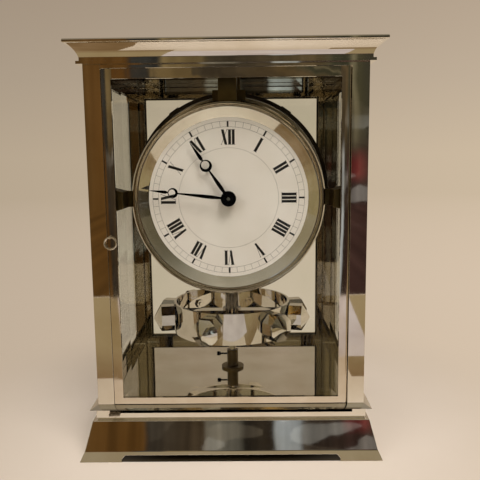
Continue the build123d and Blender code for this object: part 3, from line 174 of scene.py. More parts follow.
in_front = add(tree, "ShaderNodeMath", {0: in_front.outputs["Result"], 1: mirrored(tree)},
               operation="MULTIPLY").outputs[0]
around = add(tree, "ShaderNodeMix", {"Factor": in_front, "A": wall, "B": ceiling},
             data_type="RGBA").outputs["Result"]
shown = add(tree, "ShaderNodeBackground", {"Color": around, "Strength": side_light(tree, along["X"])})
from_above = add(tree, "ShaderNodeMapRange", {"Value": along["Z"], "From Min": -0.05, "From Max": 0.5,
                                              "To Min": 0.3 * plain_strength, "To Max": plain_strength})
lighting = add(tree, "ShaderNodeBackground", {"Color": colour(plain_light),
                                              "Strength": from_above.outputs["Result"]})
either = add(tree, "ShaderNodeMixShader", {0: unlit(tree), 1: lighting.outputs[0], 2: shown.outputs[0]})
add(tree, "ShaderNodeOutputWorld", {"Surface": either.outputs[0]})
scene.world = world


def sheet_mesh(name, corners):
    """One flat sheet."""
    mesh = bpy.data.meshes.new(name)
    mesh.from_pydata(corners, [], [tuple(range(len(corners)))])
    made = bpy.data.objects.new(name, mesh)
    scene.collection.objects.link(made)
    return made


def laid_sheet(name, height, corners):
    """Sheet that lies level at a height."""
    return sheet_mesh(name, [(x, y, height) for x, y in corners])


def empty_material(name):
    """Material without nodes, its tree, and the place on the object that its patterns read."""
    made = bpy.data.materials.new(name)
    made.use_nodes = True
    made.node_tree.nodes.clear()
    return made, made.node_tree, add(made.node_tree, "ShaderNodeTexCoord").outputs["Object"]


def from_middle(tree, place):
    """Distances of a place from the middle of the clock, along X, Y and Z."""
    apart = add(tree, "ShaderNodeVectorMath", {0: place}, operation="ABSOLUTE").outputs[0]
    return add(tree, "ShaderNodeSeparateXYZ", {"Vector": apart}).outputs


# Table. Matt pale paper, lit by the lamps near the clock, with painted shade under its base, and fading
# into the wall's own colour further out, so that no horizon shows.
table_reach = 6.0
table_pale = "#E6DACD"
under_half_x = cad_box[1][0] - 3.5 * mm
under_half_y = cad_box[1][1] - 1.0 * mm
table = laid_sheet("table", 0, [(-table_reach, -table_reach), (table_reach, -table_reach),
                                (table_reach, table_reach), (-table_reach, table_reach)])
table_paper, tree, place = empty_material("pale table paper")
distance = add(tree, "ShaderNodeVectorMath", {0: place}, operation="LENGTH").outputs["Value"]
fade = add(tree, "ShaderNodeMapRange", {"Value": distance, "From Min": 0.08, "From Max": 0.28},
           interpolation_type="SMOOTHSTEP").outputs["Result"]
grain = add(tree, "ShaderNodeTexNoise", {"Vector": place, "Scale": 9.0, "Detail": 3.0}).outputs["Fac"]
paper = ramp(add(tree, "ShaderNodeValToRGB", {"Fac": grain}), [(0.3, "#E1D5C7"), (0.7, table_pale)])
apart = from_middle(tree, place)
# Painted shade: under the base the paper is coloured dark brown, where the clock's shadow falls.
under_x = add(tree, "ShaderNodeMath", {0: apart["X"], 1: under_half_x}, operation="LESS_THAN").outputs[0]
under_y = add(tree, "ShaderNodeMath", {0: apart["Y"], 1: under_half_y}, operation="LESS_THAN").outputs[0]
under = add(tree, "ShaderNodeMath", {0: under_x, 1: under_y}, operation="MULTIPLY").outputs[0]
paper_with_painted_shade = add(tree, "ShaderNodeMix", {"Factor": under, "A": paper, "B": colour("#2A2418")}, data_type="RGBA")
near = add(tree, "ShaderNodeBsdfDiffuse", {"Color": paper_with_painted_shade.outputs["Result"], "Roughness": 0.0})
across = add(tree, "ShaderNodeSeparateXYZ", {"Vector": place}).outputs["X"]
beyond = add(tree, "ShaderNodeMath", {0: distance, 1: 0.45}, operation="ADD").outputs[0]
across = add(tree, "ShaderNodeMath", {0: across, 1: beyond}, operation="DIVIDE").outputs[0]
further = add(tree, "ShaderNodeMapRange", {"Value": distance, "From Min": 0.5, "From Max": 2.7})
backdrop = add(tree, "ShaderNodeMix", {"Factor": further.outputs["Result"], "A": colour("#CDBAA4"),
                                       "B": colour(wall_low)}, data_type="RGBA")
far = add(tree, "ShaderNodeEmission", {"Color": backdrop.outputs["Result"],
                                       "Strength": side_light(tree, across)})
mixed = add(tree, "ShaderNodeMixShader", {0: fade, 1: near.outputs[0], 2: far.outputs[0]})
add(tree, "ShaderNodeOutputMaterial", {"Surface": mixed.outputs[0]})
table.data.materials.append(table_paper)


def close_sheet(tree, tint, strength):
    """Ends a sheet's material: its own glow in a mirror, and nothing to any other ray."""
    glow = add(tree, "ShaderNodeEmission", {"Color": tint, "Strength": strength})
    clear = add(tree, "ShaderNodeBsdfTransparent")
    either = add(tree, "ShaderNodeMixShader", {0: mirrored(tree), 1: clear.outputs[0], 2: glow.outputs[0]})
    add(tree, "ShaderNodeOutputMaterial", {"Surface": either.outputs[0]})


# Mirrored room. A few sheets that only mirrored rays meet: bare wood in front of the paper at both
# sides, the floor past the table's front edge, and what stands behind the camera.
room_edge_y = -0.52
room_back_y = -1.9
room_half = 6.0
room_height = 0.66
room_floor = laid_sheet("room_floor", 2 * mm, [(-room_half, room_edge_y), (room_half, room_edge_y),
                                               (room_half, room_back_y), (-room_half, room_back_y)])
room_wall = sheet_mesh("room_wall", [(-room_half, room_back_y, 0), (room_half, room_back_y, 0),
                                     (room_half, room_back_y, room_height),
                                     (-room_half, room_back_y, room_height)])

# Things in the room stand in a fan round the clock, and a share of that fan gives each its place: low
# ones on the floor and high ones over them, a red chair at the right, and a crowd of small dim goods.
dim_room, tree, place = empty_material("dim room")
along = add(tree, "ShaderNodeSeparateXYZ", {"Vector": place}).outputs
ahead = add(tree, "ShaderNodeMath", {0: 0.31, 1: along["Y"]}, operation="SUBTRACT").outputs[0]
fan = add(tree, "ShaderNodeMath", {0: along["X"], 1: ahead}, operation="DIVIDE").outputs[0]
sway = add(tree, "ShaderNodeTexNoise", {"Vector": place, "Scale": 4.0, "Detail": 2.0}).outputs["Fac"]
share = add(tree, "ShaderNodeMath", {0: sway, 1: 0.02, 2: fan}, operation="MULTIPLY_ADD").outputs[0]
share = add(tree, "ShaderNodeMath", {0: share, 1: 0.49}, operation="ADD").outputs[0]
left_things = [(0.0, "#94835F"), (0.1, "#7A6A50"), (0.13, "#1E1A14"), (0.15, "#9599A0"), (0.17, "#9599A0"),
               (0.19, "#2A241C"), (0.225, "#5A4224")]
low_things = ramp(add(tree, "ShaderNodeValToRGB", {"Fac": share}), left_things +
                  [(0.25, "#5C401F"), (0.33, "#573C1C"), (0.338, "#322D27"), (0.43, "#4A3B28"),
                   (0.437, "#7B766B"), (0.49, "#6A675E"), (0.5, "#27231E"), (0.548, "#3A3025"),
                   (0.553, "#BCC3C9"), (0.594, "#A9B0B6"), (0.6, "#322820"), (0.66, "#33251F"),
                   (0.67, "#45302B"), (0.72, "#3C2A26"), (0.8, "#33291F"), (1.0, "#3A3226")])
high_things = ramp(add(tree, "ShaderNodeValToRGB", {"Fac": share}), left_things +
                   [(0.25, "#604322"), (0.31, "#5A3E1D"), (0.318, "#32312E"), (0.36, "#32312E"),
                    (0.372, "#7C6A48"), (0.43, "#6A5A3C"), (0.45, "#3C352A"), (0.56, "#4A4030"),
                    (0.62, "#6A5A40"), (0.655, "#3B3A2C"), (0.681, "#3B3A2C"), (0.688, "#8E8468"),
                    (0.695, "#45412F"), (0.71, "#38352A"), (0.8, "#35322A"), (1.0, "#4A4232")])
higher = add(tree, "ShaderNodeMapRange", {"Value": along["Z"], "From Min": 0.19, "From Max": 0.27})
things = add(tree, "ShaderNodeMix", {"Factor": higher.outputs["Result"], "A": low_things, "B": high_things},
             data_type="RGBA").outputs["Result"]
chair_across = ramp(add(tree, "ShaderNodeValToRGB", {"Fac": share}),
                    [(0.66, "#000000"), (0.675, "#FFFFFF"), (0.7, "#FFFFFF"), (0.716, "#000000")])
chair_upward = ramp(add(tree, "ShaderNodeValToRGB", {"Fac": along["Z"]}),
                    [(0.09, "#000000"), (0.13, "#FFFFFF"), (0.17, "#FFFFFF"), (0.23, "#000000")])
chair = add(tree, "ShaderNodeMath", {0: chair_across, 1: chair_upward}, operation="MULTIPLY").outputs[0]
things = add(tree, "ShaderNodeMix", {"Factor": chair, "A": things, "B": colour("#7A3432")},
             data_type="RGBA").outputs["Result"]
drawn = add(tree, "ShaderNodeVectorMath", {0: place, 1: (26.0, 0.0, 0.9)}, operation="MULTIPLY").outputs[0]
folds = add(tree, "ShaderNodeTexNoise", {"Vector": drawn, "Scale": 1.0, "Detail": 2.0}).outputs["Fac"]
streaks = add(tree, "ShaderNodeMapRange", {"Value": folds, "From Min": 0.3, "From Max": 0.7, "To Min": 0.7,
                                           "To Max": 1.35}).outputs["Result"]
squat = add(tree, "ShaderNodeVectorMath", {0: place, 1: (6.5, 6.5, 17.0)}, operation="MULTIPLY").outputs[0]
blocks = add(tree, "ShaderNodeTexVoronoi", {"Vector": squat, "Scale": 1.0}, distance="MINKOWSKI")
blocks.inputs["Exponent"].default_value = 6.0
chance = add(tree, "ShaderNodeSeparateColor", {"Color": blocks.outputs["Color"]}).outputs["Red"]
goods = ramp(add(tree, "ShaderNodeValToRGB", {"Fac": chance}),
             [(0.0, "#14120F"), (0.35, "#2B2822"), (0.6, "#4A4238"), (0.8, "#6A6256"), (0.95, "#A9A9A6")])
shelf = add(tree, "ShaderNodeMapRange", {"Value": share, "From Min": 0.338,
                                         "From Max": 0.345}).outputs["Result"]
standing = ramp(add(tree, "ShaderNodeValToRGB", {"Fac": along["Z"]}),
                [(0.003, "#000000"), (0.02, "#A0A0A0"), (0.3, "#A0A0A0"), (0.42, "#000000")])
crowd = add(tree, "ShaderNodeMath", {0: shelf, 1: standing}, operation="MULTIPLY").outputs[0]
filled = add(tree, "ShaderNodeMix", {"Factor": crowd, "A": things, "B": goods}, data_type="RGBA")
close_sheet(tree, filled.outputs["Result"], streaks)

# The table's own wood shows past the paper, faintly grained, browner close to the clock and paler where
# more light falls on it.
bare_wood, tree, place = empty_material("bare wood of the table")
board = add(tree, "ShaderNodeTexNoise", {"Vector": place, "Scale": 14.0, "Detail": 3.0}).outputs["Fac"]
wood = ramp(add(tree, "ShaderNodeValToRGB", {"Fac": board}), [(0.35, "#7A6040"), (0.7, "#94795A")])
ahead = add(tree, "ShaderNodeSeparateXYZ", {"Vector": place}).outputs["Y"]
outer = add(tree, "ShaderNodeMapRange", {"Value": ahead, "From Min": -0.2, "From Max": -0.3})
wood = add(tree, "ShaderNodeMix", {"Factor": outer.outputs["Result"], "A": wood, "B": colour("#A08C69")},
           data_type="RGBA")
close_sheet(tree, wood.outputs["Result"], 1.0)

# Creased white linen lies between the two bare places, and gives the metal its brightest low
# reflections.
cloth, tree, place = empty_material("white cloth on the table")
crease = add(tree, "ShaderNodeTexNoise", {"Vector": place, "Scale": 11.0, "Detail": 4.0}).outputs["Fac"]
linen = ramp(add(tree, "ShaderNodeValToRGB", {"Fac": crease}), [(0.3, "#C2B4B0"), (0.65, "#D6C9C4")])
close_sheet(tree, linen, 1.0)

sheet_lift = 1 * mm
paper_side_x = -0.099
paper_side_y = -0.09
paper_corner_x = -0.128
paper_front_y = -0.207
paper_right_x = 0.107
wood_tip_x = -0.064
cloth_back_y = -0.262
cloth_back_left = -0.072
cloth_back_right = 0.138
cloth_front_left = -0.11
cloth_front_right = 0.158
wood_left = laid_sheet("wood_left", sheet_lift,
                       [(-room_half, paper_side_y), (paper_side_x, paper_side_y),
                        (paper_corner_x, paper_front_y), (wood_tip_x, paper_front_y),
                        (cloth_front_left, room_edge_y), (-room_half, room_edge_y)])
wood_right = laid_sheet("wood_right", sheet_lift,
                        [(paper_right_x, paper_front_y), (room_half, paper_front_y),
                         (room_half, room_edge_y), (cloth_front_right, room_edge_y),
                         (cloth_back_right, cloth_back_y), (paper_right_x, cloth_back_y)])
white_cloth = laid_sheet("white_cloth", sheet_lift,
                         [(cloth_back_left, cloth_back_y), (cloth_back_right, cloth_back_y),
                          (cloth_front_right, room_edge_y), (cloth_front_left, room_edge_y)])
for sheet, material in ((room_floor, dim_room), (room_wall, dim_room), (wood_left, bare_wood),
                        (wood_right, bare_wood), (white_cloth, cloth)):
    sheet.data.materials.append(material)
    sheet.visible_camera = False
    sheet.visible_diffuse = False
    sheet.visible_shadow = False

# Lamps. A ceiling lamp at the upper right throws the short soft shadows of the hands, and a window at
# the left fills them. Neither shows itself in metal or glass, which mirror the room instead.


def soft_lamp(name, place, target, size, power, tint, spread):
    """Square lamp turned to a point."""
    data = bpy.data.lights.new(name, "AREA")
    data.shape = "SQUARE"
    data.size = size
    data.spread = radians(spread)
    data.energy = power
    data.color = colour(tint)[:3]
    lamp = bpy.data.objects.new(name, data)
    lamp.location = place
    lamp.rotation_euler = (Vector(target) - Vector(place)).to_track_quat("-Z", "Y").to_euler()
    lamp.visible_glossy = False
    lamp.visible_transmission = False
    scene.collection.objects.link(lamp)


soft_lamp("ceiling lamp", place=(0.28, -0.6, 0.95), target=(0.02, -0.13, 0.02), size=0.5, power=1.5,
          tint="#FFF9F3", spread=70)
soft_lamp("window", place=(-0.7, -0.8, 0.75), target=(0, 0, 0.14), size=0.7, power=4.0,
          tint="#F3F2F2", spread=180)

# Skirt and feet. Nickelled brass casting with splayed sides on four bracket feet, hand-polished, so
# its mirror is a little wavy and its long edges are softly rounded.


def finished(name, material, rounding=0.0, crease=32.0):
    """Copy of a CAD node with its triangles joined, its curves smoothed and its edges rounded."""
    source = frame["nodes"][name]
    mesh = source.data.copy()
    if "custom_normal" in mesh.attributes:
        mesh.attributes.remove(mesh.attributes["custom_normal"])
    work = bmesh.new()
    work.from_mesh(mesh)
    bmesh.ops.remove_doubles(work, verts=work.verts, dist=0.002 * mm)
    bmesh.ops.dissolve_limit(work, angle_limit=radians(0.3), verts=work.verts, edges=work.edges)
    work.to_mesh(mesh)
    work.free()
    mesh.shade_smooth()
    mesh.set_sharp_from_angle(angle=radians(crease))
    mesh.materials.clear()
    mesh.materials.append(material)
    piece = bpy.data.objects.new(name + "_finished", mesh)
    scene.collection.objects.link(piece)
    if rounding:
        bevel = piece.modifiers.new("rounded edges", "BEVEL")
        bevel.width = rounding
        bevel.segments = 2
        bevel.limit_method = "ANGLE"
        bevel.angle_limit = radians(crease)
        bevel.harden_normals = True
    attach(piece, source["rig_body"])
    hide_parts(name)
    return piece


def new_material(name):
    """Material with its shader and output, ready for its own nodes."""
    made, tree, place = empty_material(name)
    shader = add(tree, "ShaderNodeBsdfPrincipled")
    add(tree, "ShaderNodeOutputMaterial", {"Surface": shader.outputs[0]})
    return made, tree, shader, place


# Metal inside the glazed case is coloured darker than the rest of the case.
inside_case_tint = "#A0957F"
posts_low, posts_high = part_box("front_posts")
inside_half_x = -posts_low[0] - 0.5 * mm
inside_half_y = -posts_low[1] - 0.8 * mm
inside_low_z = posts_low[2] + 1.0 * mm
inside_high_z = posts_high[2] - 3.0 * mm
inside_middle_z = (inside_low_z + inside_high_z) / 2


def inside_case(tree, place):
    """1 within the glazed case, where the metal is given a darker colour."""
    apart = from_middle(tree, place)
    near_x = add(tree, "ShaderNodeMath", {0: apart["X"], 1: inside_half_x}, operation="LESS_THAN").outputs[0]
    near_y = add(tree, "ShaderNodeMath", {0: apart["Y"], 1: inside_half_y}, operation="LESS_THAN").outputs[0]
    between = add(tree, "ShaderNodeMath", {0: apart["Z"], 1: inside_middle_z, 2: inside_high_z - inside_middle_z},
                  operation="COMPARE").outputs[0]
    flat = add(tree, "ShaderNodeMath", {0: near_x, 1: near_y}, operation="MULTIPLY").outputs[0]
    return add(tree, "ShaderNodeMath", {0: flat, 1: between}, operation="MULTIPLY").outputs[0]


def polished_metal(name, pale, dull, smooth, cloudy, wave, wave_depth, patch=28 * mm, upright=1.0,
                   inner=None):
    """Buffed metal: faint cloudy tarnish, a little change of gloss, and a slight hand-made waviness."""
    made, tree, shader, place = new_material(name)
    cloud = add(tree, "ShaderNodeTexNoise", {"Vector": place, "Scale": 1 / patch, "Detail": 4.0})
    tint = ramp(add(tree, "ShaderNodeValToRGB", {"Fac": cloud.outputs["Fac"]}),
                [(0.35, pale), (0.75, dull)])
    if inner:
        mixed = add(tree, "ShaderNodeMix", {"Factor": inside_case(tree, place), "A": tint,
                                            "B": colour(inner)}, data_type="RGBA")
        tint = mixed.outputs["Result"]
    wipe = add(tree, "ShaderNodeTexNoise", {"Vector": place, "Scale": 1 / (3 * mm), "Detail": 6.0,
                                            "Roughness": 0.7}).outputs["Fac"]
    gloss = add(tree, "ShaderNodeMapRange", {"Value": wipe, "From Min": 0.3, "From Max": 0.8,
                                             "To Min": smooth, "To Max": cloudy}).outputs["Result"]
    drawn = add(tree, "ShaderNodeVectorMath", {0: place, 1: (1.0, 1.0, upright)}, operation="MULTIPLY")
    swell = add(tree, "ShaderNodeTexNoise", {"Vector": drawn.outputs[0], "Scale": 1 / wave, "Detail": 1.0})
    bump = add(tree, "ShaderNodeBump", {"Height": swell.outputs["Fac"], "Strength": 1.0,
                                        "Distance": wave_depth}, name="waviness").outputs["Normal"]
    shader.inputs["Metallic"].default_value = 1.0
    tree.links.new(tint, shader.inputs["Base Color"])
    tree.links.new(gloss, shader.inputs["Roughness"])
    tree.links.new(bump, shader.inputs["Normal"])
    return made


# Nickel plate on brass, buffed: a warm grey mirror whose reflections sway over 20 to 30 mm.
nickel_pale = "#EAE6DC"
nickel_tarnished = "#DCD4C4"
case_nickel = polished_metal("buffed nickel plate", nickel_pale, nickel_tarnished, smooth=0.02, cloudy=0.05,
                             wave=24 * mm, wave_depth=0.02 * mm, inner=inside_case_tint)
finished("base_skirt", case_nickel, 0.4 * mm, crease=6.0)

# Moulding and floor. The moulding is a plain band under a thin lip, screwed up to the posts; the floor
# is a flat nickelled plate let into it, with the brightest polish in the case and almost no waves.
finished("lower_moulding", case_nickel, 0.3 * mm)
floor_nickel = polished_metal("mirror nickel plate", "#F0EBE3", "#DED5C6", smooth=0.02, cloudy=0.06,
                              wave=40 * mm, wave_depth=0.01 * mm)
finished("floor_plate", floor_nickel, 0.15 * mm)

# Posts and rails. Square brass bars, nickelled, with grooves for the side panes, and the lintel over the
# door. The front posts are buffed by hand; the others are left as drawn, and mirror straighter.
finished("front_posts", case_nickel, 0.35 * mm)
bar_nickel = polished_metal("drawn nickel bar", nickel_pale, nickel_tarnished, smooth=0.02, cloudy=0.04,
                            wave=24 * mm, wave_depth=0.002 * mm, inner=inside_case_tint)
finished("rear_posts", bar_nickel, 0.35 * mm)
finished("frame_rails", bar_nickel, 0.25 * mm)

# Glass. Ground and polished plate with wide bevels, faintly green in its thickness. Its index is set low,
# so that the bevels bend the view as little as the real ones do, and it casts no dark shadow on the dial.
plate_glass, tree, shader, place = new_material("bevelled plate glass")
smear = add(tree, "ShaderNodeTexNoise", {"Vector": place, "Scale": 1 / (35 * mm), "Detail": 3.0})
clear = ramp(add(tree, "ShaderNodeValToRGB", {"Fac": smear.outputs["Fac"]}),
             [(0.3, "#FBFDFB"), (0.8, "#F3F7F2")])
tree.links.new(clear, shader.inputs["Base Color"])
shader.inputs["Transmission Weight"].default_value = 1.0
shader.inputs["Roughness"].default_value = 0.0
shader.inputs["IOR"].default_value = 1.15
for name in ("side_glasses", "rear_glass", "door_glass"):
    pane = frame["nodes"][name]
    pane.visible_shadow = False
    for entry in pane.material_slots:
        entry.material = plate_glass

# Rear frame. One fixed frame of the same drawn bar, let in between the rear posts and rebated on its
# inner side for the pane, so its mirror is as straight as theirs.
finished("rear_frame", bar_nickel, 0.3 * mm)

# Ceiling, cornice and top. The ceiling plate carries the movement; the cornice is a hollow curve on a
# plain neck, and the thin top plate stands out over it.
finished("ceiling_plate", case_nickel, 0.25 * mm)
finished("cornice", case_nickel, 0.2 * mm, crease=14.0)
finished("top_plate", case_nickel, 0.25 * mm)

# Case screws. They go up through the moulding and down through the ceiling into the posts, and one is the
# lever's pivot. Turned from steel rod and left bright, they have a soft grey sheen and mirror little.
bright_steel = polished_metal("turned bright steel", "#B9B6B0", "#A29E97", smooth=0.14, cloudy=0.26,
                              wave=6 * mm, wave_depth=0.004 * mm)
finished("case_screws", bright_steel, 0.12 * mm)

# Door. Nickelled frame with a front lip and a rebate for the pane, steel pivots at the right and a small
# drawn ring for a pull at the left.
door_wave_depth = 0.07 * mm
door_nickel = polished_metal("hand-buffed nickel plate", "#E4DCCF", "#CFC2AC", smooth=0.04, cloudy=0.1,
                             wave=9 * mm, wave_depth=door_wave_depth, upright=0.12, inner=inside_case_tint)

# Long buffing along the stiles leaves upright waves, and a face that falls away towards the glass: by
# the fall times the square of the distance in from its crown.
stile_crown = 82 * mm
stile_inner_edge = 72 * mm
stile_fall = 4.5
tree = door_nickel.node_tree
apart = from_middle(tree, add(tree, "ShaderNodeTexCoord").outputs["Object"])
kept = add(tree, "ShaderNodeMath", {0: apart["X"], 1: stile_inner_edge}, operation="MAXIMUM").outputs[0]
inward = add(tree, "ShaderNodeMath", {0: stile_crown, 1: kept}, operation="SUBTRACT").outputs[0]
squared = add(tree, "ShaderNodeMath", {0: inward, 1: inward}, operation="MULTIPLY").outputs[0]
wave_height = tree.nodes["waviness"].inputs["Height"]
crowned = add(tree, "ShaderNodeMath", {0: squared, 1: -stile_fall / door_wave_depth,
                                       2: wave_height.links[0].from_socket}, operation="MULTIPLY_ADD")
tree.links.new(crowned.outputs[0], wave_height)
finished("door_frame", door_nickel, 0.3 * mm)
finished("door_pivots", bright_steel, 0.1 * mm)
finished("pull_ears", case_nickel, 0.08 * mm)
finished("door_pull", case_nickel)

# Bezel and dial ring. Turned and polished brass, nickelled; the bezel has yellowed and mirrors softly,
# and the ring is a shallow cone that mirrors the room in a few broad segments.
bezel_nickel = polished_metal("turned and buffed nickel", "#C8BBA6", "#B3A48C", smooth=0.06, cloudy=0.16,
                              wave=18 * mm, wave_depth=0.02 * mm)
finished("bezel", bezel_nickel, 0.3 * mm)
ring_nickel = polished_metal("polished cone nickel", "#F3EEE7", "#E2DACE", smooth=0.03, cloudy=0.07,
                             wave=30 * mm, wave_depth=0.03 * mm)
finished("dial_ring", ring_nickel, 0.15 * mm)

# Dial. Copper disc fired with ivory-white enamel and clamped by the ring: a smooth glass skin that
# isn't quite flat, with a few dark specks, drawn a little coarser than real ones so that they show.
enamel, tree, shader, place = new_material("fired ivory enamel")
bloom = add(tree, "ShaderNodeTexNoise", {"Vector": place, "Scale": 1 / (22 * mm), "Detail": 3.0})
ivory = ramp(add(tree, "ShaderNodeValToRGB", {"Fac": bloom.outputs["Fac"]}),
             [(0.3, "#EAE2DA"), (0.75, "#E1D8CE")])
grit = add(tree, "ShaderNodeTexVoronoi", {"Vector": place, "Scale": 1 / (2.4 * mm), "Randomness": 1.0})
speck = add(tree, "ShaderNodeMapRange", {"Value": grit.outputs["Distance"], "From Min": 0.03,
                                         "From Max": 0.06, "To Min": 0.35, "To Max": 0.0})
flecked = add(tree, "ShaderNodeMix", {"Factor": speck.outputs["Result"], "A": ivory,
                                      "B": colour("#8A7B68")}, data_type="RGBA")
ripple = add(tree, "ShaderNodeTexNoise", {"Vector": place, "Scale": 1 / (5 * mm), "Detail": 2.0})
skin = add(tree, "ShaderNodeBump", {"Height": ripple.outputs["Fac"], "Strength": 0.6,
                                    "Distance": 0.02 * mm})
tree.links.new(flecked.outputs["Result"], shader.inputs["Base Color"])
tree.links.new(skin.outputs["Normal"], shader.inputs["Normal"])
shader.inputs["Roughness"].default_value = 0.22
shader.inputs["Coat Weight"].default_value = 0.5
shader.inputs["Coat Roughness"].default_value = 0.06
finished("dial", enamel, 0.2 * mm)

# Hour numerals. Painted in black enamel and fired: thick and hair strokes with fine serifs, feet to
# the centre, so that the lower ones stand on their heads.


def enamel_paint(name, thick, thin):
    """Fired paint with a soft gloss, a little paler where the brush left it thin."""
    made, tree, shader, place = new_material(name)
    brushed = add(tree, "ShaderNodeTexNoise", {"Vector": place, "Scale": 1 / (1.5 * mm), "Detail": 3.0})
    tint = ramp(add(tree, "ShaderNodeValToRGB", {"Fac": brushed.outputs["Fac"]}),
                [(0.3, thick), (0.8, thin)])
    tree.links.new(tint, shader.inputs["Base Color"])
    shader.inputs["Roughness"].default_value = 0.35
    return made


ink = enamel_paint("fired black enamel paint", "#0B0A09", "#1E1B18")
dial_low, dial_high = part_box("dial")
dial_face_y = dial_low[1]
dial_z = (dial_low[2] + dial_high[2]) / 2
paint_depth = 0.03 * mm
numeral_foot = 35.9 * mm
numeral_head = 46.0 * mm
numeral_height = numeral_head - numeral_foot
thick_stroke = 1.85 * mm
hair_stroke = 0.28 * mm
letter_gap = 0.6 * mm
letter_widths = {"I": thick_stroke, "V": 3.9 * mm, "X": 4.2 * mm}
serif_reach = 0.4 * mm


def stroke(low_left, low_right, high_left, high_right):
    """Slanting stroke between the feet and the heads of the letters."""
    return [(low_left, 0), (low_right, 0), (high_right, numeral_height), (high_left, numeral_height)]


def letter_strokes(letter, left):
    """Four-sided strokes of one letter whose left side stands at a place."""
    width = letter_widths[letter]
    right = left + width
    middle = left + width / 2
    half = thick_stroke / 2
    hair = hair_stroke / 2
    if letter == "I":
        bars = [stroke(left, right, left, right)]
        ends = [(left, 0), (left, 1), (right, 0), (right, 1)]
    elif letter == "V":
        bars = [stroke(middle - half / 2, middle + half, left, left + thick_stroke),
                stroke(middle, middle + hair_stroke, right - hair_stroke, right)]
        ends = [(left, 1), (left + thick_stroke, 1), (right - hair, 1)]
    else:
        bars = [stroke(right - thick_stroke, right, left, left + thick_stroke),
                stroke(left, left + hair_stroke, right - hair_stroke, right)]
        ends = [(left + half, 1), (right - hair, 1), (left + hair, 0), (right - half, 0)]
    for x, top in ends:
        y = numeral_height - hair_stroke if top else 0
        bars.append([(x - serif_reach, y), (x + serif_reach, y), (x + serif_reach, y + hair_stroke),
                     (x - serif_reach, y + hair_stroke)])
    return bars


def on_dial(along, out, angle):
    """Place on the dial's face at a distance along the tangent and out from the centre."""
    turn = radians(angle)
    return (out * sin(turn) + along * cos(turn), dial_z + out * cos(turn) - along * sin(turn))


def painted(name, outlines, material):
    """Thin raised paint on the dial from flat outlines in X and Z."""
    work = bmesh.new()
    for outline in outlines:
        face = work.faces.new([work.verts.new((x, dial_face_y, z)) for x, z in outline])
        made = bmesh.ops.extrude_face_region(work, geom=[face])
        moved = [item for item in made["geom"] if isinstance(item, bmesh.types.BMVert)]
        bmesh.ops.translate(work, verts=moved, vec=(0, -paint_depth, 0))
    bmesh.ops.recalc_face_normals(work, faces=work.faces)
    mesh = bpy.data.meshes.new(name)
    work.to_mesh(mesh)
    work.free()
    mesh.materials.append(material)
    piece = bpy.data.objects.new(name, mesh)
    scene.collection.objects.link(piece)
    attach(piece, "case")
    return piece


numerals = ("XII", "I", "II", "III", "IIII", "V", "VI", "VII", "VIII", "IX", "X", "XI")
outlines = []
for hour, word in enumerate(numerals):
    width = sum(letter_widths[letter] for letter in word) + letter_gap * (len(word) - 1)
    left = -width / 2
    for letter in word:
        for bar in letter_strokes(letter, left):
            outlines.append([on_dial(x, numeral_foot + y, 30 * hour) for x, y in bar])
        left += letter_widths[letter] + letter_gap
painted("hour_numerals", outlines, ink)

# Minute track. A railway of two hair circles with a tick at each minute and a heavy one at each five,
# and a third hair circle inside the numerals. The hair lines are painted so thin that they look grey.
hair_ink = enamel_paint("thin grey enamel line", "#5C554C", "#777066")
track_inner = 47.7 * mm
track_outer = 51.5 * mm
inner_circle = 33.9 * mm
track_line = 0.2 * mm
inner_line = 0.16 * mm
heavy_tick = 1.2 * mm


def new_group(name, numbers):
    """Geometry tree with named lengths or counts as its inputs."""
    group = bpy.data.node_groups.new(name, "GeometryNodeTree")
    group.interface.new_socket("Geometry", in_out="OUTPUT", socket_type="NodeSocketGeometry")
    for title, value in numbers.items():
        kind = "NodeSocketInt" if isinstance(value, int) else "NodeSocketFloat"
        group.interface.new_socket(title, in_out="INPUT", socket_type=kind)
    return group, add(group, "NodeGroupInput").outputs


def close_group(group, shape, material):
    """Ends a tree with its copies made real and its material set."""
    real = add(group, "GeometryNodeRealizeInstances", {"Geometry": shape})
    coated = add(group, "GeometryNodeSetMaterial", {"Geometry": real.outputs[0], "Material": material})
    add(group, "NodeGroupOutput", {"Geometry": coated.outputs[0]})


def grown(name, group, numbers):
    """Plain mesh, painted on the dial, of what a tree makes with these numbers."""
    holder = bpy.data.objects.new(name + "_maker", bpy.data.meshes.new(name + "_maker"))
    scene.collection.objects.link(holder)
    modifier = holder.modifiers.new("grow", "NODES")
    modifier.node_group = group
    for item in group.interface.items_tree:
        if item.in_out == "INPUT":
            modifier[item.identifier] = numbers[item.name]
    bpy.context.view_layer.update()
    evaluated = holder.evaluated_get(bpy.context.evaluated_depsgraph_get())
    mesh = bpy.data.meshes.new_from_object(evaluated)
    # A mesh cube in the tree leaves an empty slot before the paint's.
    if mesh.materials[0] is None:
        mesh.materials.pop(index=0)
    holder.modifiers.remove(modifier)
    bpy.data.objects.remove(holder)
    piece = bpy.data.objects.new(name, mesh)
    scene.collection.objects.link(piece)
    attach(piece, "case")
    return piece


def stood_on_dial(group, given, shape):
    """What lies round the origin, stood up on the face of the dial."""
    lift = add(group, "ShaderNodeMath", {0: given["Depth"], 1: -0.5, 2: given["Face"]},
               operation="MULTIPLY_ADD")
    centre = add(group, "ShaderNodeCombineXYZ", {"Y": lift.outputs[0], "Z": given["Height"]})
    return add(group, "GeometryNodeTransform", {"Geometry": shape, "Translation": centre.outputs[0],
                                                "Rotation": (pi / 2, 0, 0)}).outputs[0]


tick_numbers = {"Count": 60, "Radius": track_inner, "Length": track_outer - track_inner,
                "Width": track_line, "Depth": paint_depth, "Face": dial_face_y, "Height": dial_z}


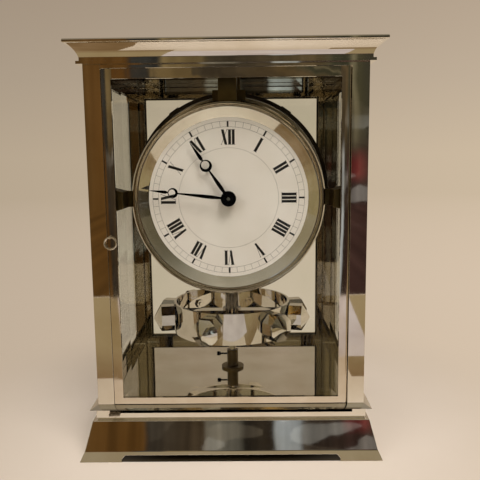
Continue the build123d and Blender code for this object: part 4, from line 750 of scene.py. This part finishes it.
def tick_group(name, material):
    """Ring of upright ticks round the dial."""
    group, given = new_group(name, tick_numbers)
    middle = add(group, "ShaderNodeMath", {0: given["Length"], 1: 0.5, 2: given["Radius"]},
                 operation="MULTIPLY_ADD")
    circle = add(group, "GeometryNodeMeshCircle", {"Vertices": given["Count"], "Radius": middle.outputs[0]})
    size = add(group, "ShaderNodeCombineXYZ", {"X": given["Length"], "Y": given["Width"],
                                               "Z": given["Depth"]})
    tick = add(group, "GeometryNodeMeshCube", {"Size": size.outputs[0]})
    place = add(group, "GeometryNodeInputPosition").outputs[0]
    turn = add(group, "FunctionNodeAlignRotationToVector", {"Vector": place}, axis="X", pivot_axis="Z")
    ring = add(group, "GeometryNodeInstanceOnPoints",
               {"Points": circle.outputs[0], "Instance": tick.outputs[0], "Rotation": turn.outputs[0]})
    close_group(group, stood_on_dial(group, given, ring.outputs[0]), material)
    return group


grown("minute_ticks", tick_group("minute ticks", hair_ink), tick_numbers)
grown("five_minute_ticks", tick_group("five minute ticks", ink),
      {**tick_numbers, "Count": 12, "Width": heavy_tick})

line_numbers = {"Radius": track_inner, "Width": track_line, "Depth": paint_depth, "Face": dial_face_y,
                "Height": dial_z}
line_tree, given = new_group("painted circle", line_numbers)
circle = add(line_tree, "GeometryNodeCurvePrimitiveCircle", {"Resolution": 180, "Radius": given["Radius"]})
brush = add(line_tree, "GeometryNodeCurvePrimitiveQuadrilateral", {"Width": given["Width"],
                                                                   "Height": given["Depth"]})
line = add(line_tree, "GeometryNodeCurveToMesh", {"Curve": circle.outputs[0],
                                                  "Profile Curve": brush.outputs[0]})
close_group(line_tree, stood_on_dial(line_tree, given, line.outputs[0]), hair_ink)
grown("track_inner_line", line_tree, line_numbers)
grown("track_outer_line", line_tree, {**line_numbers, "Radius": track_outer})
grown("inner_line", line_tree, {**line_numbers, "Radius": inner_circle, "Width": inner_line})

# Arms and strut of the dial. Cast bronze brackets from the bezel to the front posts and up to the
# ceiling, with a satin finish that age has darkened, so they show as plain brown shapes.
bronze = polished_metal("aged satin bronze", "#75633F", "#52462D", smooth=0.3, cloudy=0.38,
                        wave=4 * mm, wave_depth=0.01 * mm, patch=12 * mm)
finished("side_arms", bronze, 0.35 * mm)
finished("top_strut", bronze, 0.35 * mm)

# Top bridge and suspension block. Castings of the same bronze: the bridge is a beam under the ceiling
# from the strut to the suspension, and the block at its end holds the wire.
finished("top_bridge", bronze, 0.35 * mm)
finished("suspension_block", bronze, 0.3 * mm)

# Movement plates. Rolled brass on pillars turned from the same brass, with the regulator and the yoke that
# carries the drum's axle cut from it too. It is grained, too finely to show as lines, and lacquered, which
# gives it a soft gold sheen.
brass = polished_metal("grained lacquered brass", "#D2B67A", "#BE9F62", smooth=0.24, cloudy=0.29,
                       wave=8 * mm, wave_depth=0.004 * mm, patch=16 * mm)
for name in ("front_plate", "back_plate", "plate_pillars", "regulator"):
    finished(name, brass, 0.2 * mm)
finished("drum_yoke", brass, 0.2 * mm)
finished("plate_screws", bright_steel, 0.1 * mm)

# Wheels and arbors. Cut brass wheels and a turned roller on bright steel arbors with cut pinions, and the
# straight steel wire of the suspension. Their edges stay as crisp as the cutter left them.
for name in ("centre_wheel", "hour_wheel", "minute_wheel", "escape_wheel", "barrel", "impulse_roller"):
    finished(name, brass)
for name in ("centre_arbor", "cannon_pinion", "pallet_lever", "winding_arbor", "drum_gear",
             "suspension_wire"):
    finished(name, bright_steel)

# Hands. Sawn from sheet steel and blued until almost black, with slim leaf arms and a ring whose hole
# lies off its middle; both are pressed on their pipes.
blued = polished_metal("blued steel", "#1B1A20", "#101014", smooth=0.16, cloudy=0.3, wave=5 * mm,
                       wave_depth=0.01 * mm, patch=10 * mm)
hand_hub = 5.2 * mm
hand_edge = 0.1 * mm
hole_share = 0.66
hole_shift_share = 0.55


def hand_outline(length, ring_place, ring_radius, widths, tip_widths):
    """Right side of a hand, from the hub to the tip, as (half width, distance)."""
    reach = ring_place - ring_radius
    side = []
    for share in (-1, -0.9, -0.7, -0.4, 0, 0.4, 0.7, 0.9):
        side.append((hand_hub * sqrt(1 - share ** 2), hand_hub * share))
    for share, width in widths:
        side.append((width / 2, hand_hub + (reach - hand_hub) * share))
    for step in range(1, 16):
        turn = pi * step / 16
        side.append((max(ring_radius * sin(turn), widths[-1][1] / 2), ring_place - ring_radius * cos(turn)))
    start = ring_place + ring_radius
    for share, width in tip_widths:
        side.append((width / 2, start + (length - start) * share))
    return side


def cut_hand(name, node, angle, length, ring_place, ring_radius, widths, tip_widths):
    """Flat hand with rounded edges that stands where its CAD node does."""
    low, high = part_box(node)
    side = hand_outline(length, ring_place, ring_radius, widths, tip_widths)
    outline = side + [(-x, y) for x, y in reversed(side) if x > 0]
    hole = ring_radius * hole_share
    hole_place = ring_place + (ring_radius - hole) * hole_shift_share
    circle = [(hole * sin(2 * pi * i / 48), hole_place + hole * cos(2 * pi * i / 48)) for i in range(48)]
    curve = bpy.data.curves.new(name, "CURVE")
    curve.dimensions = "2D"
    curve.fill_mode = "BOTH"
    curve.extrude = (high[1] - low[1]) / 2 - hand_edge
    curve.bevel_depth = hand_edge
    curve.bevel_resolution = 2
    curve.offset = -hand_edge
    for loop in (outline, circle):
        spline = curve.splines.new("POLY")
        spline.points.add(len(loop) - 1)
        for point, (x, y) in zip(spline.points, loop):
            point.co = (x, y, 0, 1)
        spline.use_cyclic_u = True
    shape = bpy.data.objects.new(name + "_curve", curve)
    scene.collection.objects.link(shape)
    bpy.context.view_layer.update()
    mesh = bpy.data.meshes.new_from_object(shape.evaluated_get(bpy.context.evaluated_depsgraph_get()))
    bpy.data.objects.remove(shape)
    turn = Matrix.Rotation(radians(angle), 4, "Y")
    stand = Matrix.Rotation(radians(90), 4, "X")
    mesh.transform(Matrix.Translation((0, (low[1] + high[1]) / 2, dial_z)) @ turn @ stand)
    mesh.shade_smooth()
    mesh.set_sharp_from_angle(angle=radians(35))
    mesh.materials.clear()
    mesh.materials.append(blued)
    piece = bpy.data.objects.new(name, mesh)
    scene.collection.objects.link(piece)
    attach(piece, frame["nodes"][node]["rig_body"])
    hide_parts(node)
    return piece


cut_hand("hour_leaf", "hour_hand", angle=326.0, length=45.9 * mm, ring_place=26.5 * mm,
         ring_radius=4.1 * mm,
         widths=((0.0, 1.9 * mm), (0.2, 2.6 * mm), (0.45, 2.5 * mm), (0.75, 1.7 * mm), (1.0, 1.0 * mm)),
         tip_widths=((0.02, 1.2 * mm), (0.12, 2.5 * mm), (0.3, 2.3 * mm), (0.6, 1.3 * mm),
                     (0.85, 0.6 * mm), (1.0, 0.0)))
cut_hand("minute_leaf", "minute_hand", angle=276.7, length=53.6 * mm, ring_place=37.3 * mm,
         ring_radius=3.4 * mm,
         widths=((0.0, 1.5 * mm), (0.2, 2.5 * mm), (0.4, 2.4 * mm), (0.75, 1.5 * mm), (1.0, 0.9 * mm)),
         tip_widths=((0.02, 1.0 * mm), (0.12, 2.1 * mm), (0.3, 1.9 * mm), (0.6, 1.1 * mm),
                     (0.85, 0.5 * mm), (1.0, 0.0)))

# Motor drum. Spun can of bright white metal with a pressed lid, polished to a soft mirror. It is filled by
# a closed capsule of tinned sheet, pleated like a bellows, whose dull skin hardly shines.
drum_nickel = polished_metal("spun bright metal", "#CFC6B6", "#B9AD98", smooth=0.07, cloudy=0.14,
                             wave=16 * mm, wave_depth=0.01 * mm)
finished("drum_lid", drum_nickel, 0.3 * mm)
finished("drum_shell", drum_nickel, 0.3 * mm)
capsule_tin = polished_metal("pleated tinned sheet", "#BDB197", "#A39778", smooth=0.3, cloudy=0.45,
                             wave=6 * mm, wave_depth=0.03 * mm)
finished("expansion_capsule", capsule_tin)

# Cradle of the drum. Rolled steel band, oxidised to a dark brown satin, with four clips on its front
# edge, hung from the ceiling by a bronze saddle.
dark_hoop = polished_metal("oxidised steel band", "#463F35", "#302A23", smooth=0.26, cloudy=0.34,
                           wave=9 * mm, wave_depth=0.01 * mm, patch=14 * mm)
finished("cradle_hoop", dark_hoop, 0.3 * mm)
finished("hoop_clips", dark_hoop, 0.25 * mm)
finished("hoop_hanger", bronze, 0.3 * mm)

# Torsion pendulum. Turned ring, cross bar and eight faceted weights on studs with their nuts, nickelled
# and polished as jewels are: the brightest mirrors on the clock. The tube round the wire is plain steel.
jewel_nickel = polished_metal("jewel polished nickel", "#E2DCD2", "#CFC7BA", smooth=0.015, cloudy=0.04,
                              wave=12 * mm, wave_depth=0.006 * mm)
finished("pendulum_ring", jewel_nickel, 0.2 * mm)
finished("pendulum_cross", jewel_nickel, 0.2 * mm)
finished("pendulum_tube", bright_steel, 0.2 * mm)
finished("pendulum_weights", jewel_nickel, 0.12 * mm)
finished("weight_nuts", jewel_nickel, 0.12 * mm)

# Arrest. Bored post with its plunger and thumb screw, darkened by handling, and the flat steel lever
# under the floor, whose bluing has worn to a patchy grey brown.
finished("arrest_post", bronze, 0.25 * mm)
finished("arrest_plunger", jewel_nickel, 0.3 * mm)
finished("arrest_screw", blued, 0.2 * mm)
worn_blue = polished_metal("worn blued steel", "#8F877A", "#5E574C", smooth=0.2, cloudy=0.4, wave=8 * mm,
                           wave_depth=0.01 * mm, patch=10 * mm)
finished("lock_lever", worn_blue, 0.15 * mm)
